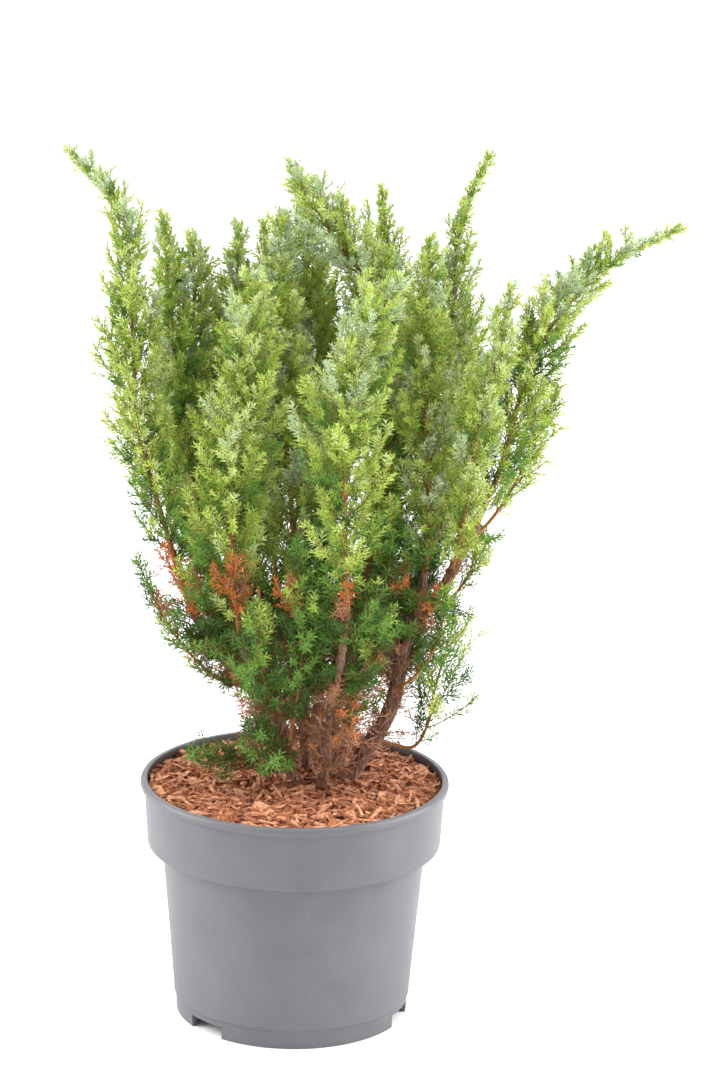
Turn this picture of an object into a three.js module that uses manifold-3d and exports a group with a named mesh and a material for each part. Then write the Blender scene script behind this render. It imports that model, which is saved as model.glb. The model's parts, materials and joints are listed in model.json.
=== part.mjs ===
import * as THREE from 'three';
import { mergeVertices } from 'three/addons/utils/BufferGeometryUtils.js';
import Module from 'manifold-3d';

// A juniper shrub in a round plastic nursery pot, with bark mulch over its potting soil.
// Millimetres, +Z up. The origin is the middle of the pot's underside, and the front faces -Y.

const wasm = await Module();
wasm.setup();

// Driving sizes of the pot and its filling

const clearance = 0.3;
const weldDistance = 1e-3;
const roundSides = 28;

const pot = {
  footRadius: 83,
  skirtHeight: 14.5,
  bodyFootRadius: 84.6,
  bodyTopRadius: 94.4,
  collarFootHeight: 126.5,
  collarFootRadius: 104.8,
  collarTopRadius: 107.2,
  lipHeight: 168,
  lipRadius: 110.2,
  rimHeight: 174,
  wall: 2.4,
  corner: 2.6,
  padRadius: 66,
  channelHeight: 9.5,
  notchHeight: 9,
  notchWidth: 31,
  notchAzimuths: [-47, 71, 192]
};

const soilTop = 150;
const groundHeight = 169.5;
const groundBlock = { width: 100, depth: 40 };

const mulch = {
  bottom: soilTop + clearance,
  top: groundHeight - clearance,
  flatRadius: 64,
  edgeDrop: 1.4,
  roughness: 1.3,
  rings: 3
};

// Stems rise from the ground, and boughs leave a stem at its tip or its side.
// Every limb is named by the points it passes and its radius at foot and tip.

const limbs = {
  stem_right: {
    through: [[37, 11, 160], [42, 11, 176], [53, 11, 195], [66, 10, 220], [72, 8, 245], [74, 6, 266]],
    radii: [6.6, 5.3],
    flare: 1.7,
    sides: 10
  },
  stem_middle: {
    through: [[24, 21, 160], [28, 16, 212], [33, 8, 257], [43, 10, 298], [52, 14, 330]],
    radii: [4.0, 3.0],
    flare: 0.9
  },
  stem_centre: {
    through: [[8, 32, 160], [6, 27, 220], [4, 14, 280], [1, 9, 306]],
    radii: [4.1, 3.0],
    flare: 0.9
  },
  stem_left: {
    through: [[-5, 23, 160], [-24, 15, 224], [-42, 6, 247], [-60, -4, 276], [-76, -9, 303]],
    radii: [4.8, 3.4],
    flare: 1.0
  },
  stem_left_front: {
    through: [[2, 5, 160], [-12, -10, 212], [-30, -25, 258], [-40, -33, 290]],
    radii: [4.4, 3.1],
    flare: 1.0
  },
  stem_front: {
    through: [[19, -4, 160], [24, -28, 225], [31, -55, 285], [34, -68, 316]],
    radii: [3.8, 2.7],
    flare: 0.8
  },
  stem_back_left: {
    through: [[-8, 40, 160], [-15, 46, 230], [-25, 51, 285]],
    radii: [3.9, 2.8],
    flare: 0.8
  },
  stem_rear_left: {
    through: [[-2, 54, 160], [-20, 70, 230], [-36, 82, 290]],
    radii: [4.0, 2.8],
    flare: 0.8
  },
  stem_rear: {
    through: [[16, 50, 160], [16, 76, 235], [14, 98, 300]],
    radii: [4.1, 2.9],
    flare: 0.8
  },
  stem_rear_right: {
    through: [[31, 36, 160], [46, 62, 235], [62, 80, 295]],
    radii: [4.1, 2.9],
    flare: 0.8
  },
  bough_far_right: {
    from: 'stem_right',
    through: [[74, 6, 266], [84, 0, 291], [101, 0, 315], [116, -3, 346], [124, -5, 364]],
    radii: [4.6, 3.2]
  },
  bough_right: {
    from: 'stem_right',
    through: [[72, 8, 247], [78, -4, 276], [85, -6, 304], [89, -5, 330]],
    radii: [3.9, 2.8]
  },
  bough_right_back: {
    from: 'stem_right',
    through: [[69, 9, 234], [76, 24, 280], [90, 33, 326], [98, 34, 350]],
    radii: [3.6, 2.5]
  },
  bough_middle_back: {
    from: 'stem_middle',
    through: [[29, 14, 222], [38, 34, 276], [53, 48, 328], [60, 50, 345]],
    radii: [3.3, 2.4]
  },
  bough_centre_back: {
    from: 'stem_centre',
    through: [[6, 27, 216], [10, 42, 268], [17, 46, 318]],
    radii: [3.4, 2.4]
  },
  bough_left_back: {
    from: 'stem_left',
    through: [[-40, 7, 245], [-52, 16, 275], [-62, 19, 308]],
    radii: [3.3, 2.4]
  },
  bough_rear_far_left: {
    from: 'stem_rear_left',
    through: [[-17, 68, 220], [-42, 72, 262], [-60, 74, 292]],
    radii: [3.2, 2.3]
  },
  bough_rear_far_right: {
    from: 'stem_rear_right',
    through: [[43, 58, 225], [68, 66, 262], [88, 71, 300]],
    radii: [3.2, 2.3]
  }
};

// Each mass of foliage is a plume of twigs and sprays round one leading twig.
// width is the plume's half width where it is widest, and lift turns its twigs upwards.

const masses = {
  foliage_left: {
    from: 'stem_left',
    through: [
      [-76, -9, 303], [-94, -13, 364], [-112, -15, 430], [-117, -11, 510], [-125, -4, 580], [-162, 5, 622]
    ],
    width: 29,
    lift: 0.2
  },
  foliage_left_back: {
    from: 'bough_left_back',
    through: [[-62, 19, 308], [-74, 24, 380], [-88, 28, 470], [-93, 28, 520], [-98, 28, 574]],
    width: 25,
    lift: 0.1
  },
  foliage_left_front: {
    from: 'stem_left_front',
    through: [[-40, -33, 290], [-46, -41, 345], [-44, -43, 410], [-38, -41, 475], [-31, -38, 546]],
    width: 33,
    lift: 0.1
  },
  foliage_back_left: {
    from: 'stem_back_left',
    through: [[-25, 51, 285], [-38, 56, 375], [-46, 56, 470], [-46, 55, 562]],
    width: 28,
    lift: 0
  },
  foliage_centre: {
    from: 'stem_centre',
    through: [[1, 9, 306], [-8, 5, 400], [-14, 4, 480], [-16, 5, 580]],
    width: 27,
    lift: 0
  },
  foliage_centre_back: {
    from: 'bough_centre_back',
    through: [[17, 46, 318], [12, 53, 415], [4, 54, 500], [-3, 50, 590]],
    width: 26,
    lift: 0
  },
  foliage_arching: {
    from: 'stem_middle',
    through: [[52, 14, 330], [61, 20, 400], [58, 24, 475], [44, 24, 530], [20, 14, 564], [-10, 5, 616]],
    width: 24,
    lift: 0.45
  },
  foliage_middle_back: {
    from: 'bough_middle_back',
    through: [[60, 50, 345], [68, 58, 430], [63, 58, 515], [54, 52, 590]],
    width: 25,
    lift: 0
  },
  foliage_front: {
    from: 'stem_front',
    through: [[34, -68, 316], [31, -79, 390], [30, -82, 450], [42, -82, 510], [64, -80, 553]],
    width: 33,
    lift: 0.15
  },
  foliage_right: {
    from: 'bough_right',
    through: [[89, -5, 330], [90, -10, 400], [85, -10, 470], [86, -8, 566]],
    width: 26,
    lift: 0
  },
  foliage_right_back: {
    from: 'bough_right_back',
    through: [[98, 34, 350], [103, 39, 430], [106, 39, 510], [109, 36, 570], [127, 33, 617]],
    width: 24,
    lift: 0
  },
  foliage_far_right: {
    from: 'bough_far_right',
    through: [[124, -5, 364], [141, -7, 410], [153, -8, 462], [172, -7, 508], [208, -4, 548], [258, 0, 575]],
    width: 28,
    lift: 0.6
  },
  foliage_right_inner: {
    from: 'bough_far_right',
    through: [[107, -1, 328], [114, -24, 372], [122, -36, 440], [133, -38, 490], [142, -34, 540]],
    width: 20,
    lift: 0.1
  },
  foliage_low_right: {
    from: 'stem_right',
    through: [[56, 11, 201], [70, 13, 195], [84, 9, 195], [93, 4, 211], [98, 0, 240], [110, 0, 290]],
    width: 24,
    lift: 0.1,
    bare: 0.3
  },
  foliage_low_front: {
    from: 'stem_left_front',
    through: [[-5, -3, 188], [-2, -26, 222], [2, -50, 262], [4, -62, 310], [1, -66, 362]],
    width: 25,
    lift: 0,
    bare: 0.2
  },
  foliage_low_left: {
    from: 'stem_left_front',
    through: [[-14, -12, 218], [-20, -38, 250], [-25, -56, 276], [-30, -66, 318]],
    width: 21,
    lift: 0,
    bare: 0.14
  },
  foliage_low_middle: {
    from: 'stem_front',
    through: [[22, -20, 204], [38, -32, 232], [50, -42, 276], [52, -46, 328]],
    width: 22,
    lift: 0,
    bare: 0.16
  },
  foliage_side_left: {
    from: 'stem_left',
    through: [[-34, 11, 236], [-58, -10, 252], [-88, -20, 288], [-112, -20, 338]],
    width: 13,
    lift: 0.1,
    bare: 0.2
  },
  foliage_foot: {
    from: 'stem_left_front',
    through: [[0, 2, 178], [-12, -18, 192], [-20, -34, 208], [-26, -44, 228]],
    width: 20,
    lift: 0,
    bare: 0.1
  },
  foliage_foot_left: {
    from: 'stem_left',
    through: [[-10, 21, 180], [-26, 0, 190], [-46, -18, 192], [-70, -26, 197]],
    width: 14,
    lift: 0.2,
    bare: 0.3
  },
  foliage_rear_left: {
    from: 'stem_rear_left',
    through: [[-36, 82, 290], [-48, 92, 370], [-54, 98, 450], [-53, 98, 512]],
    width: 30,
    lift: 0
  },
  foliage_rear: {
    from: 'stem_rear',
    through: [[14, 98, 300], [13, 110, 380], [12, 116, 460], [12, 114, 524]],
    width: 32,
    lift: 0
  },
  foliage_rear_right: {
    from: 'stem_rear_right',
    through: [[62, 80, 295], [74, 94, 380], [78, 100, 460], [74, 98, 515]],
    width: 30,
    lift: 0
  },
  foliage_rear_far_left: {
    from: 'bough_rear_far_left',
    through: [[-60, 74, 292], [-78, 78, 350], [-88, 78, 410], [-88, 76, 468]],
    width: 26,
    lift: 0
  },
  foliage_rear_far_right: {
    from: 'bough_rear_far_right',
    through: [[88, 71, 300], [108, 74, 360], [118, 76, 430], [116, 76, 492]],
    width: 25,
    lift: 0
  },
  foliage_rear_low: {
    from: 'stem_rear',
    through: [[16, 72, 224], [0, 96, 246], [-14, 118, 280], [-20, 126, 334]],
    width: 26,
    lift: 0,
    bare: 0.16
  },
  foliage_rear_low_right: {
    from: 'stem_rear_right',
    through: [[40, 52, 212], [54, 80, 240], [64, 104, 276], [66, 116, 330]],
    width: 25,
    lift: 0,
    bare: 0.16
  },
  foliage_inner_left: {
    from: 'stem_left',
    through: [[-52, 1, 263], [-56, -18, 286], [-62, -30, 318], [-66, -32, 356]],
    width: 23,
    lift: 0,
    bare: 0.1
  },
  foliage_inner_middle: {
    from: 'stem_centre',
    through: [[5, 20, 252], [10, -2, 276], [14, -14, 318], [14, -18, 364]],
    width: 24,
    lift: 0,
    bare: 0.14
  },
  foliage_inner_right: {
    from: 'stem_middle',
    through: [[35, 8, 268], [52, -8, 294], [62, -22, 332], [64, -26, 382]],
    width: 23,
    lift: 0,
    bare: 0.1
  },
  foliage_fork_right: {
    from: 'stem_right',
    through: [[67, 9, 236], [84, -14, 256], [98, -24, 284], [104, -26, 322]],
    width: 17,
    lift: 0.1,
    bare: 0.2
  },
  foliage_outer_right: {
    from: 'bough_far_right',
    through: [[117, -3, 348], [138, 10, 368], [160, 14, 408], [178, 12, 458]],
    width: 20,
    lift: 0.2,
    bare: 0.2
  },
  foliage_fork_outer: {
    from: 'bough_far_right',
    through: [[92, 0, 304], [106, 4, 306], [120, 8, 324], [128, 10, 352]],
    width: 14,
    lift: 0.1,
    bare: 0.3
  },
  foliage_back_inner: {
    from: 'stem_back_left',
    through: [[-22, 49, 268], [-16, 74, 330], [-26, 78, 440], [-28, 70, 562]],
    width: 20,
    lift: 0,
    bare: 0.2
  },
  foliage_left_inner: {
    from: 'bough_left_back',
    through: [[-58, 18, 298], [-66, 44, 352], [-74, 50, 440], [-77, 46, 556]],
    width: 22,
    lift: 0,
    bare: 0.2
  }
};

// How every plume grows. Its leading twig is dressed in whorls of needles, and longer sprays
// stand out of them, each a slim twig with two whorls of its own.

const growth = {
  whorlSpacing: 34,
  whorlSides: 5,
  whorlShare: 0.46,
  hollowShare: 0.2,
  wideAt: 0.62,
  narrowAt: 0.36,
  bareSteps: 3,
  spraySpacing: 25,
  firstSpray: 0.04,
  lastSpray: 0.88,
  sprayRise: 1.25,
  sprayWidth: 12,
  sprayCore: 1.5,
  rootRadius: 0.8,
  turnPerSpray: THREE.MathUtils.degToRad(137.5),
  spaceReach: 1.35
};

const colours = {
  pot: 0x8a888d,
  soil: 0x3b2a20,
  mulch: 0xa8694b,
  stem: 0x7a5a49,
  bough: 0x8a6648,
  foliage: [0x7d9a3c, 0x8fae55, 0x6f8f35, 0x9db56a]
};

// The corners and faces of a geometry, with corners that lie together merged into one
function mergedMesh(geometry, tolerance) {
  const bare = geometry.clone();
  bare.deleteAttribute('normal');
  bare.deleteAttribute('uv');
  const merged = mergeVertices(bare, tolerance);
  const faces = [];
  for (let i = 0; i < merged.index.count; i += 3) {
    const face = [0, 1, 2].map((corner) => merged.index.getX(i + corner));
    if (new Set(face).size === 3) faces.push(...face);
  }
  return { corners: merged.attributes.position.array, faces };
}

// A geometry is turned into a solid that can be joined and cut, and back again

function toSolid(geometry, tolerance = 1e-4) {
  const { corners, faces } = mergedMesh(geometry, tolerance);
  return new wasm.Manifold(new wasm.Mesh({
    numProp: 3,
    vertProperties: corners,
    triVerts: new Uint32Array(faces)
  }));
}

function toGeometry(solid) {
  const mesh = solid.getMesh();
  const geometry = new THREE.BufferGeometry();
  geometry.setAttribute('position', new THREE.BufferAttribute(new Float32Array(mesh.vertProperties), 3));
  geometry.setIndex(new THREE.BufferAttribute(new Uint32Array(mesh.triVerts), 1));
  geometry.computeVertexNormals();
  return geometry;
}

// Whether every edge of a solid has exactly one face on each side
function hasPairedEdges(solid, tolerance) {
  const { faces } = mergedMesh(toGeometry(solid), tolerance);
  const edges = new Set();
  for (let i = 0; i < faces.length; i += 3) {
    for (let side = 0; side < 3; side += 1) {
      edges.add(`${faces[i + side]},${faces[i + (side + 1) % 3]}`);
    }
  }
  const paired = [...edges].every((edge) => edges.has(edge.split(',').reverse().join(',')));
  return paired && edges.size === faces.length;
}

// Whether a solid stays one closed body when corners nearer than a micrometre are merged
function isClean(solid) {
  if (!hasPairedEdges(solid, weldDistance)) return false;
  const welded = toSolid(toGeometry(solid), weldDistance);
  return welded.decompose().length === 1 && hasPairedEdges(welded, 1e-5);
}

function largestPiece(solid) {
  return solid.decompose().reduce((best, piece) => (piece.volume() > best.volume() ? piece : best));
}

// The same numbers come out on every run

function seededRandom(seed) {
  let state = (seed * 2654435761) % 4294967296;
  return () => {
    state = (state * 1664525 + 1013904223) % 4294967296;
    return state / 4294967296;
  };
}

function vector(point) {
  return new THREE.Vector3(...point);
}

const sideways = vector([1, 0, 0]);
const frontward = vector([0, -1, 0]);

// The pot: a thin shell with a collar and lip, a pad and channel under it, and three foot notches

function lathe(outline) {
  return new THREE.LatheGeometry(outline, roundSides).rotateX(Math.PI / 2);
}

function bodyRadius(height) {
  const rise = (height - pot.skirtHeight) / (pot.collarFootHeight - pot.skirtHeight);
  return THREE.MathUtils.lerp(pot.bodyFootRadius, pot.bodyTopRadius, rise);
}

function collarRadius(height) {
  const rise = (height - pot.collarFootHeight) / (pot.lipHeight - pot.collarFootHeight);
  return THREE.MathUtils.lerp(pot.collarFootRadius, pot.collarTopRadius, rise);
}

const padTop = pot.wall;
const channelTop = pot.channelHeight + pot.wall;
const shoulder = pot.collarFootHeight + pot.wall;

// The inside of the shell from its floor up to a height, drawn in by a margin
function insideOutline(topHeight, margin) {
  return [
    [0, padTop + margin],
    [pot.padRadius - pot.wall - margin, padTop + margin],
    [pot.padRadius - margin, channelTop + margin],
    [bodyRadius(channelTop) - pot.wall - margin, channelTop + margin],
    [bodyRadius(shoulder) - pot.wall - margin, shoulder + margin],
    [collarRadius(shoulder) - pot.wall - margin, shoulder + margin],
    [collarRadius(topHeight) - pot.wall - margin, topHeight]
  ].map(([radius, height]) => new THREE.Vector2(radius, height));
}

function potSolid() {
  const outside = new THREE.Path();
  outside.moveTo(0, 0);
  outside.lineTo(pot.padRadius, 0);
  outside.lineTo(pot.padRadius + pot.wall, pot.channelHeight);
  outside.lineTo(pot.footRadius - 2 * pot.wall, pot.channelHeight);
  outside.lineTo(pot.footRadius - pot.wall, 0);
  outside.lineTo(pot.footRadius, 0);
  outside.lineTo(pot.footRadius + 0.7, pot.skirtHeight - 1);
  outside.lineTo(pot.bodyFootRadius, pot.skirtHeight);
  outside.lineTo(bodyRadius(pot.collarFootHeight), pot.collarFootHeight);
  outside.lineTo(pot.collarFootRadius - pot.corner, pot.collarFootHeight);
  outside.quadraticCurveTo(
    pot.collarFootRadius, pot.collarFootHeight,
    collarRadius(pot.collarFootHeight + pot.corner), pot.collarFootHeight + pot.corner
  );
  outside.lineTo(pot.collarTopRadius, pot.lipHeight);
  outside.lineTo(pot.lipRadius - 0.6, pot.lipHeight + 0.8);
  outside.quadraticCurveTo(
    pot.lipRadius + 0.6, pot.rimHeight,
    pot.lipRadius - 1.8, pot.rimHeight
  );
  outside.lineTo(pot.collarTopRadius - 1.2, pot.rimHeight);
  const outline = outside.getPoints(2).concat(insideOutline(pot.lipHeight, 0).reverse());
  const shell = toSolid(lathe(outline));
  return pot.notchAzimuths.reduce((solid, degrees) => {
    const notch = new THREE.BoxGeometry(pot.notchWidth, 5 * pot.wall, 2 * pot.notchHeight);
    notch.translate(0, -pot.footRadius, 0);
    notch.rotateZ(THREE.MathUtils.degToRad(degrees));
    return solid.subtract(toSolid(notch));
  }, shell);
}

function soilSolid() {
  const outline = insideOutline(soilTop, clearance);
  outline.push(new THREE.Vector2(0, soilTop));
  return toSolid(lathe(outline));
}

// The mulch is level round the stems, and sinks and turns lumpy towards the wall
function mulchSolid() {
  const edge = (height) => collarRadius(height) - pot.wall - clearance;
  const sunken = mulch.top - mulch.edgeDrop;
  const outline = [
    new THREE.Vector2(0, mulch.bottom),
    new THREE.Vector2(edge(mulch.bottom), mulch.bottom),
    new THREE.Vector2(edge(sunken), sunken)
  ];
  for (let ring = 1; ring <= mulch.rings; ring += 1) {
    const share = ring / mulch.rings;
    const radius = THREE.MathUtils.lerp(edge(sunken), mulch.flatRadius, share);
    outline.push(new THREE.Vector2(radius, THREE.MathUtils.lerp(sunken, mulch.top, share)));
  }
  outline.push(new THREE.Vector2(0, mulch.top));
  const geometry = lathe(outline);
  const position = geometry.attributes.position;
  for (let i = 0; i < position.count; i += 1) {
    const radius = Math.hypot(position.getX(i), position.getY(i));
    const free = radius > mulch.flatRadius + 1 && position.getZ(i) > sunken + 0.1;
    if (!free) continue;
    const turn = Math.atan2(position.getY(i), position.getX(i));
    const lump = Math.sin(7 * turn + 0.4 * radius) * Math.cos(11 * turn - 0.9 * radius);
    position.setZ(i, position.getZ(i) + mulch.roughness * lump);
  }
  return toSolid(geometry);
}

// A bar that follows a curve through its rings. A ring has its place along the curve from 0 to 1,
// its radius, and the turn that sets its corners between those of the ring before it.

function barSolid(curve, rings, sides, across) {
  const steps = rings.length - 1;
  const tipShare = rings[steps].radius === 0 ? 0 : 1;
  const bar = new THREE.CylinderGeometry(tipShare, 1, 1, sides, steps);
  const position = bar.attributes.position;
  for (let i = 0; i < position.count; i += 1) {
    const ring = rings[Math.round((position.getY(i) + 0.5) * steps)];
    const turn = Math.atan2(position.getZ(i), position.getX(i)) + (ring.turn ?? 0);
    const onAxis = Math.hypot(position.getX(i), position.getZ(i)) < 1e-6;
    const radius = onAxis ? 0 : ring.radius + (ring.swell ?? 0) * Math.cos(3 * turn);
    const along = curve.getTangentAt(ring.at);
    const first = across.clone().addScaledVector(along, -across.dot(along)).normalize();
    const second = first.clone().cross(along);
    const point = curve.getPointAt(ring.at);
    point.addScaledVector(first, radius * Math.cos(turn));
    point.addScaledVector(second, radius * Math.sin(turn));
    position.setXYZ(i, point.x, point.y, point.z);
  }
  return toSolid(bar);
}

// A curve through the points, with both ends moved out by a margin
function curveThrough(points, margin = 0) {
  const way = points.map(vector);
  if (margin > 0) {
    way[0].add(way[0].clone().sub(way[1]).setLength(margin));
    way.at(-1).add(way.at(-1).clone().sub(way.at(-2)).setLength(margin));
  }
  return new THREE.CatmullRomCurve3(way, false, 'centripetal');
}

// Stems swell into a ribbed root flare and are cut off flat at the ground
function limbSolid(limb, margin = 0) {
  const [footRadius, tipRadius] = limb.radii;
  const steps = limb.through.length + 1;
  const rings = [];
  for (let step = 0; step <= steps; step += 1) {
    const at = step / steps;
    const swell = (limb.flare ?? 0) * Math.exp(-12 * at);
    const taper = THREE.MathUtils.lerp(footRadius, tipRadius, at);
    rings.push({ at, radius: taper + 1.5 * swell + margin, swell: 0.5 * swell });
  }
  const solid = barSolid(curveThrough(limb.through, margin), rings, limb.sides ?? 7, frontward);
  if (limb.from) return solid;
  const ground = new THREE.BoxGeometry(groundBlock.width, groundBlock.width, groundBlock.depth);
  ground.translate(limb.through[0][0], limb.through[0][1], groundHeight - groundBlock.depth / 2 - margin);
  return solid.subtract(toSolid(ground));
}

// The leading twig of a plume starts in line with its bough's tip, or thinner at a limb's side.
// Past its bare foot it is a spindle of whorls, each a wide ring that overhangs a narrow one.
function leaderSolid(mass) {
  const bough = limbs[mass.from];
  const atTip = bough.through.at(-1).every((value, axis) => value === mass.through[0][axis]);
  const footRadius = atTip ? bough.radii[1] : 0.6 * bough.radii[1];
  const bare = mass.bare ?? 0;
  const rings = [{ at: 0, radius: footRadius }];
  for (let step = 1; bare > 0 && step <= growth.bareSteps; step += 1) {
    const share = step / growth.bareSteps;
    rings.push({ at: bare * share, radius: footRadius * (1 - 0.3 * share) });
  }
  const count = Math.max(2, Math.round(mass.curve.getLength() * (1 - bare) / growth.whorlSpacing));
  const stride = (1 - bare) / count;
  const between = Math.PI / growth.whorlSides;
  for (let whorl = 0; whorl < count; whorl += 1) {
    const wide = bare + stride * (whorl + growth.wideAt);
    const narrow = bare + stride * (whorl + growth.narrowAt);
    rings.push({ at: wide, radius: growth.whorlShare * envelope(mass, wide), turn: between });
    if (whorl < count - 1) rings.push({ at: narrow, radius: growth.hollowShare * envelope(mass, narrow) });
  }
  rings.push({ at: 1, radius: 0 });
  return barSolid(mass.curve, rings, growth.whorlSides, frontward);
}

// A limb or leading twig that starts on another is hollowed to sit on it, a clearance away,
// and is cut clear of the limbs that fork off beside it
function seated(solid) {
  const box = boxOf(solid);
  const clear = grownLimbs.reduce((rest, grown) => (
    boxOf(grown).intersectsBox(box) ? rest.subtract(grown) : rest
  ), solid);
  return largestPiece(clear);
}

// A spray of needles: a slim core with two whorls standing out, and a point
function spraySolid(curve, width, across, margin = 0) {
  const core = growth.sprayCore + margin;
  const between = Math.PI / 3;
  return barSolid(curve, [
    { at: 0, radius: growth.rootRadius + margin },
    { at: 0.56, radius: width + margin, turn: between },
    { at: 0.44, radius: core },
    { at: 0.82, radius: 0.75 * width + margin, turn: between },
    { at: 1, radius: 0 }
  ], 3, across);
}

// A plume is a spindle round its leader: full soon after its foot, and pointed at its tip
function envelope(mass, share) {
  const bare = mass.bare ?? 0;
  const along = THREE.MathUtils.clamp((share - bare) / (1 - bare), 0, 1);
  return mass.width * Math.sin(Math.PI * along ** 0.72) ** 0.6;
}

function distanceToLeader(mass, point) {
  return mass.samples.reduce((least, sample) => Math.min(least, sample.distanceTo(point)), Infinity);
}

// A point is in a plume's own space where no other plume's leader is nearer for its width
function inOwnSpace(mass, point) {
  const own = distanceToLeader(mass, point) / mass.width;
  if (own > growth.spaceReach) return false;
  return Object.values(masses).every((other) => (
    other === mass || distanceToLeader(other, point) / other.width >= own
  ));
}

function boxOf(solid) {
  const { min, max } = solid.boundingBox();
  return new THREE.Box3(vector(min), vector(max));
}

function keep(name, solid) {
  kept.push({ name, solid, box: boxOf(solid) });
}

function touchesAnother(name, solid) {
  const box = boxOf(solid);
  return kept.some((other) => (
    other.name !== name && other.box.intersectsBox(box) && !other.solid.intersect(solid).isEmpty()
  ));
}

// A spray leaves the leader at a share of its length and bends upwards. It is skipped where it
// would leave the plume's space or touch another piece, or meet its own plume only in an edge.
function addSpray(name, mass, share, turn, random) {
  const root = mass.curve.getPointAt(share);
  const along = mass.curve.getTangentAt(share);
  const out = sideways.clone().cross(along).normalize().applyAxisAngle(along, turn);
  const rise = along.clone().add(new THREE.Vector3(0, 0, mass.lift)).normalize();
  const reach = envelope(mass, share) * (0.9 + 0.25 * random());
  const size = THREE.MathUtils.clamp(reach / 26, 0.5, 1.15);
  const climb = growth.sprayRise * reach + 6;
  const bend = root.clone().addScaledVector(out, 0.6 * reach).addScaledVector(rise, 0.35 * climb);
  const end = root.clone().addScaledVector(out, reach).addScaledVector(rise, climb);
  const middle = root.clone().lerp(end, 0.6);
  if (!inOwnSpace(mass, end) || !inOwnSpace(mass, middle)) return;
  const curve = new THREE.QuadraticBezierCurve3(root, bend, end);
  const across = out.clone().cross(along).applyAxisAngle(along, 0.3 * random());
  const width = growth.sprayWidth * size;
  if (touchesAnother(name, spraySolid(curve, width, across, clearance))) return;
  const spray = spraySolid(curve, width, across);
  const joined = mass.solid.add(spray);
  if (!isClean(joined)) return;
  keep(name, spray);
  mass.solid = joined;
}

function growMass(name, mass, random) {
  const bare = mass.bare ?? 0;
  const length = mass.curve.getLength();
  const count = Math.max(3, Math.round(length * (1 - bare) / growth.spraySpacing));
  const start = random() * 2 * Math.PI;
  for (let i = 0; i < count; i += 1) {
    const share = THREE.MathUtils.lerp(bare + growth.firstSpray, growth.lastSpray, (i + 0.5) / count);
    addSpray(name, mass, share, start + i * growth.turnPerSpray, random);
  }
}

// Building it all: limbs first, then every leading twig, then twigs and sprays

const kept = [];
const grownLimbs = [];
const limbSolids = {};

for (const [name, limb] of Object.entries(limbs)) {
  limbSolids[name] = seated(limbSolid(limb));
  grownLimbs.push(limbSolid(limb, clearance));
  keep(name, limbSolids[name]);
}

for (const [name, mass] of Object.entries(masses)) {
  mass.curve = curveThrough(mass.through);
  mass.samples = mass.curve.getSpacedPoints(24);
  mass.solid = seated(leaderSolid(mass));
  keep(name, mass.solid);
}

Object.entries(masses).forEach(([name, mass], index) => {
  growMass(name, mass, seededRandom(index + 11));
});

// Naming and colouring

const plant = new THREE.Group();

function addPiece(name, solid, colour, roughness) {
  const material = new THREE.MeshStandardMaterial({ color: colour, roughness, metalness: 0 });
  const piece = new THREE.Mesh(toGeometry(solid), material);
  piece.name = name;
  plant.add(piece);
}

addPiece('pot', potSolid(), colours.pot, 0.55);
addPiece('potting_soil', soilSolid(), colours.soil, 0.95);
addPiece('bark_mulch', mulchSolid(), colours.mulch, 0.9);

for (const [name, solid] of Object.entries(limbSolids)) {
  addPiece(name, solid, limbs[name].from ? colours.bough : colours.stem, 0.9);
}

Object.entries(masses).forEach(([name, mass], index) => {
  addPiece(name, mass.solid, colours.foliage[index % colours.foliage.length], 0.8);
});

export default plant;
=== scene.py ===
import json
import math

import bpy
import numpy as np
from mathutils import Matrix

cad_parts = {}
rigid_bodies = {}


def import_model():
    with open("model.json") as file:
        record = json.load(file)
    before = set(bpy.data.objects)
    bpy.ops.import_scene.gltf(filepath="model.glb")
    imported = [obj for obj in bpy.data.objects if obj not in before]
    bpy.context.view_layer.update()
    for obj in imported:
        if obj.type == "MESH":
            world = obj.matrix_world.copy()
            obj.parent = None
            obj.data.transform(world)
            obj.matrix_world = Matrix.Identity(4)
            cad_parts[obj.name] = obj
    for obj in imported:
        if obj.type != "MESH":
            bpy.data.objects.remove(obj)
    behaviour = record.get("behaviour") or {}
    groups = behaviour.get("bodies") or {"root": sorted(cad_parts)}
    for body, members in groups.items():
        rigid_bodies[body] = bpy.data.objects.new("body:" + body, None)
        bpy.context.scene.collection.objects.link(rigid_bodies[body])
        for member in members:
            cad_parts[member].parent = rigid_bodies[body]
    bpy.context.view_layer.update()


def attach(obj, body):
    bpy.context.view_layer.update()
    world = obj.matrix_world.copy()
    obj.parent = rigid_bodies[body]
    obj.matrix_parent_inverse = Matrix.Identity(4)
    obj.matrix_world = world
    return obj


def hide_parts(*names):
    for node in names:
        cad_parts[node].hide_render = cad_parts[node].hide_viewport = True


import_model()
mm = 0.001
fullTurn = 2 * math.pi
drawnTurn = 6.28  # a turn that is drawn at random stays under this


# Colours are written as sRGB hex codes and turned to linear here.
def colour(code):
    channels = [int(code[i:i + 2], 16) / 255 for i in (1, 3, 5)]
    return tuple(c / 12.92 if c <= 0.04045 else ((c + 0.055) / 1.055) ** 2.4 for c in channels) + (1.0,)


# Adds one node with its settings and inputs. An input that is a node takes that node's first output,
# and the stops are a colour ramp's places and hex codes.
def addNode(tree, kind, inputs=None, stops=None, **settings):
    node = tree.nodes.new(kind)
    for name, value in settings.items():
        setattr(node, name, value)
    for name, value in (inputs or {}).items():
        if isinstance(value, bpy.types.Node):
            value = value.outputs[0]
        if isinstance(value, bpy.types.NodeSocket):
            tree.links.new(value, node.inputs[name])
        else:
            node.inputs[name].default_value = value
    for index, (position, code) in enumerate(stops or []):
        if index >= len(node.color_ramp.elements):
            node.color_ramp.elements.new(1.0)
        node.color_ramp.elements[index].position = position
        node.color_ramp.elements[index].color = colour(code)
    return node


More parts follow.
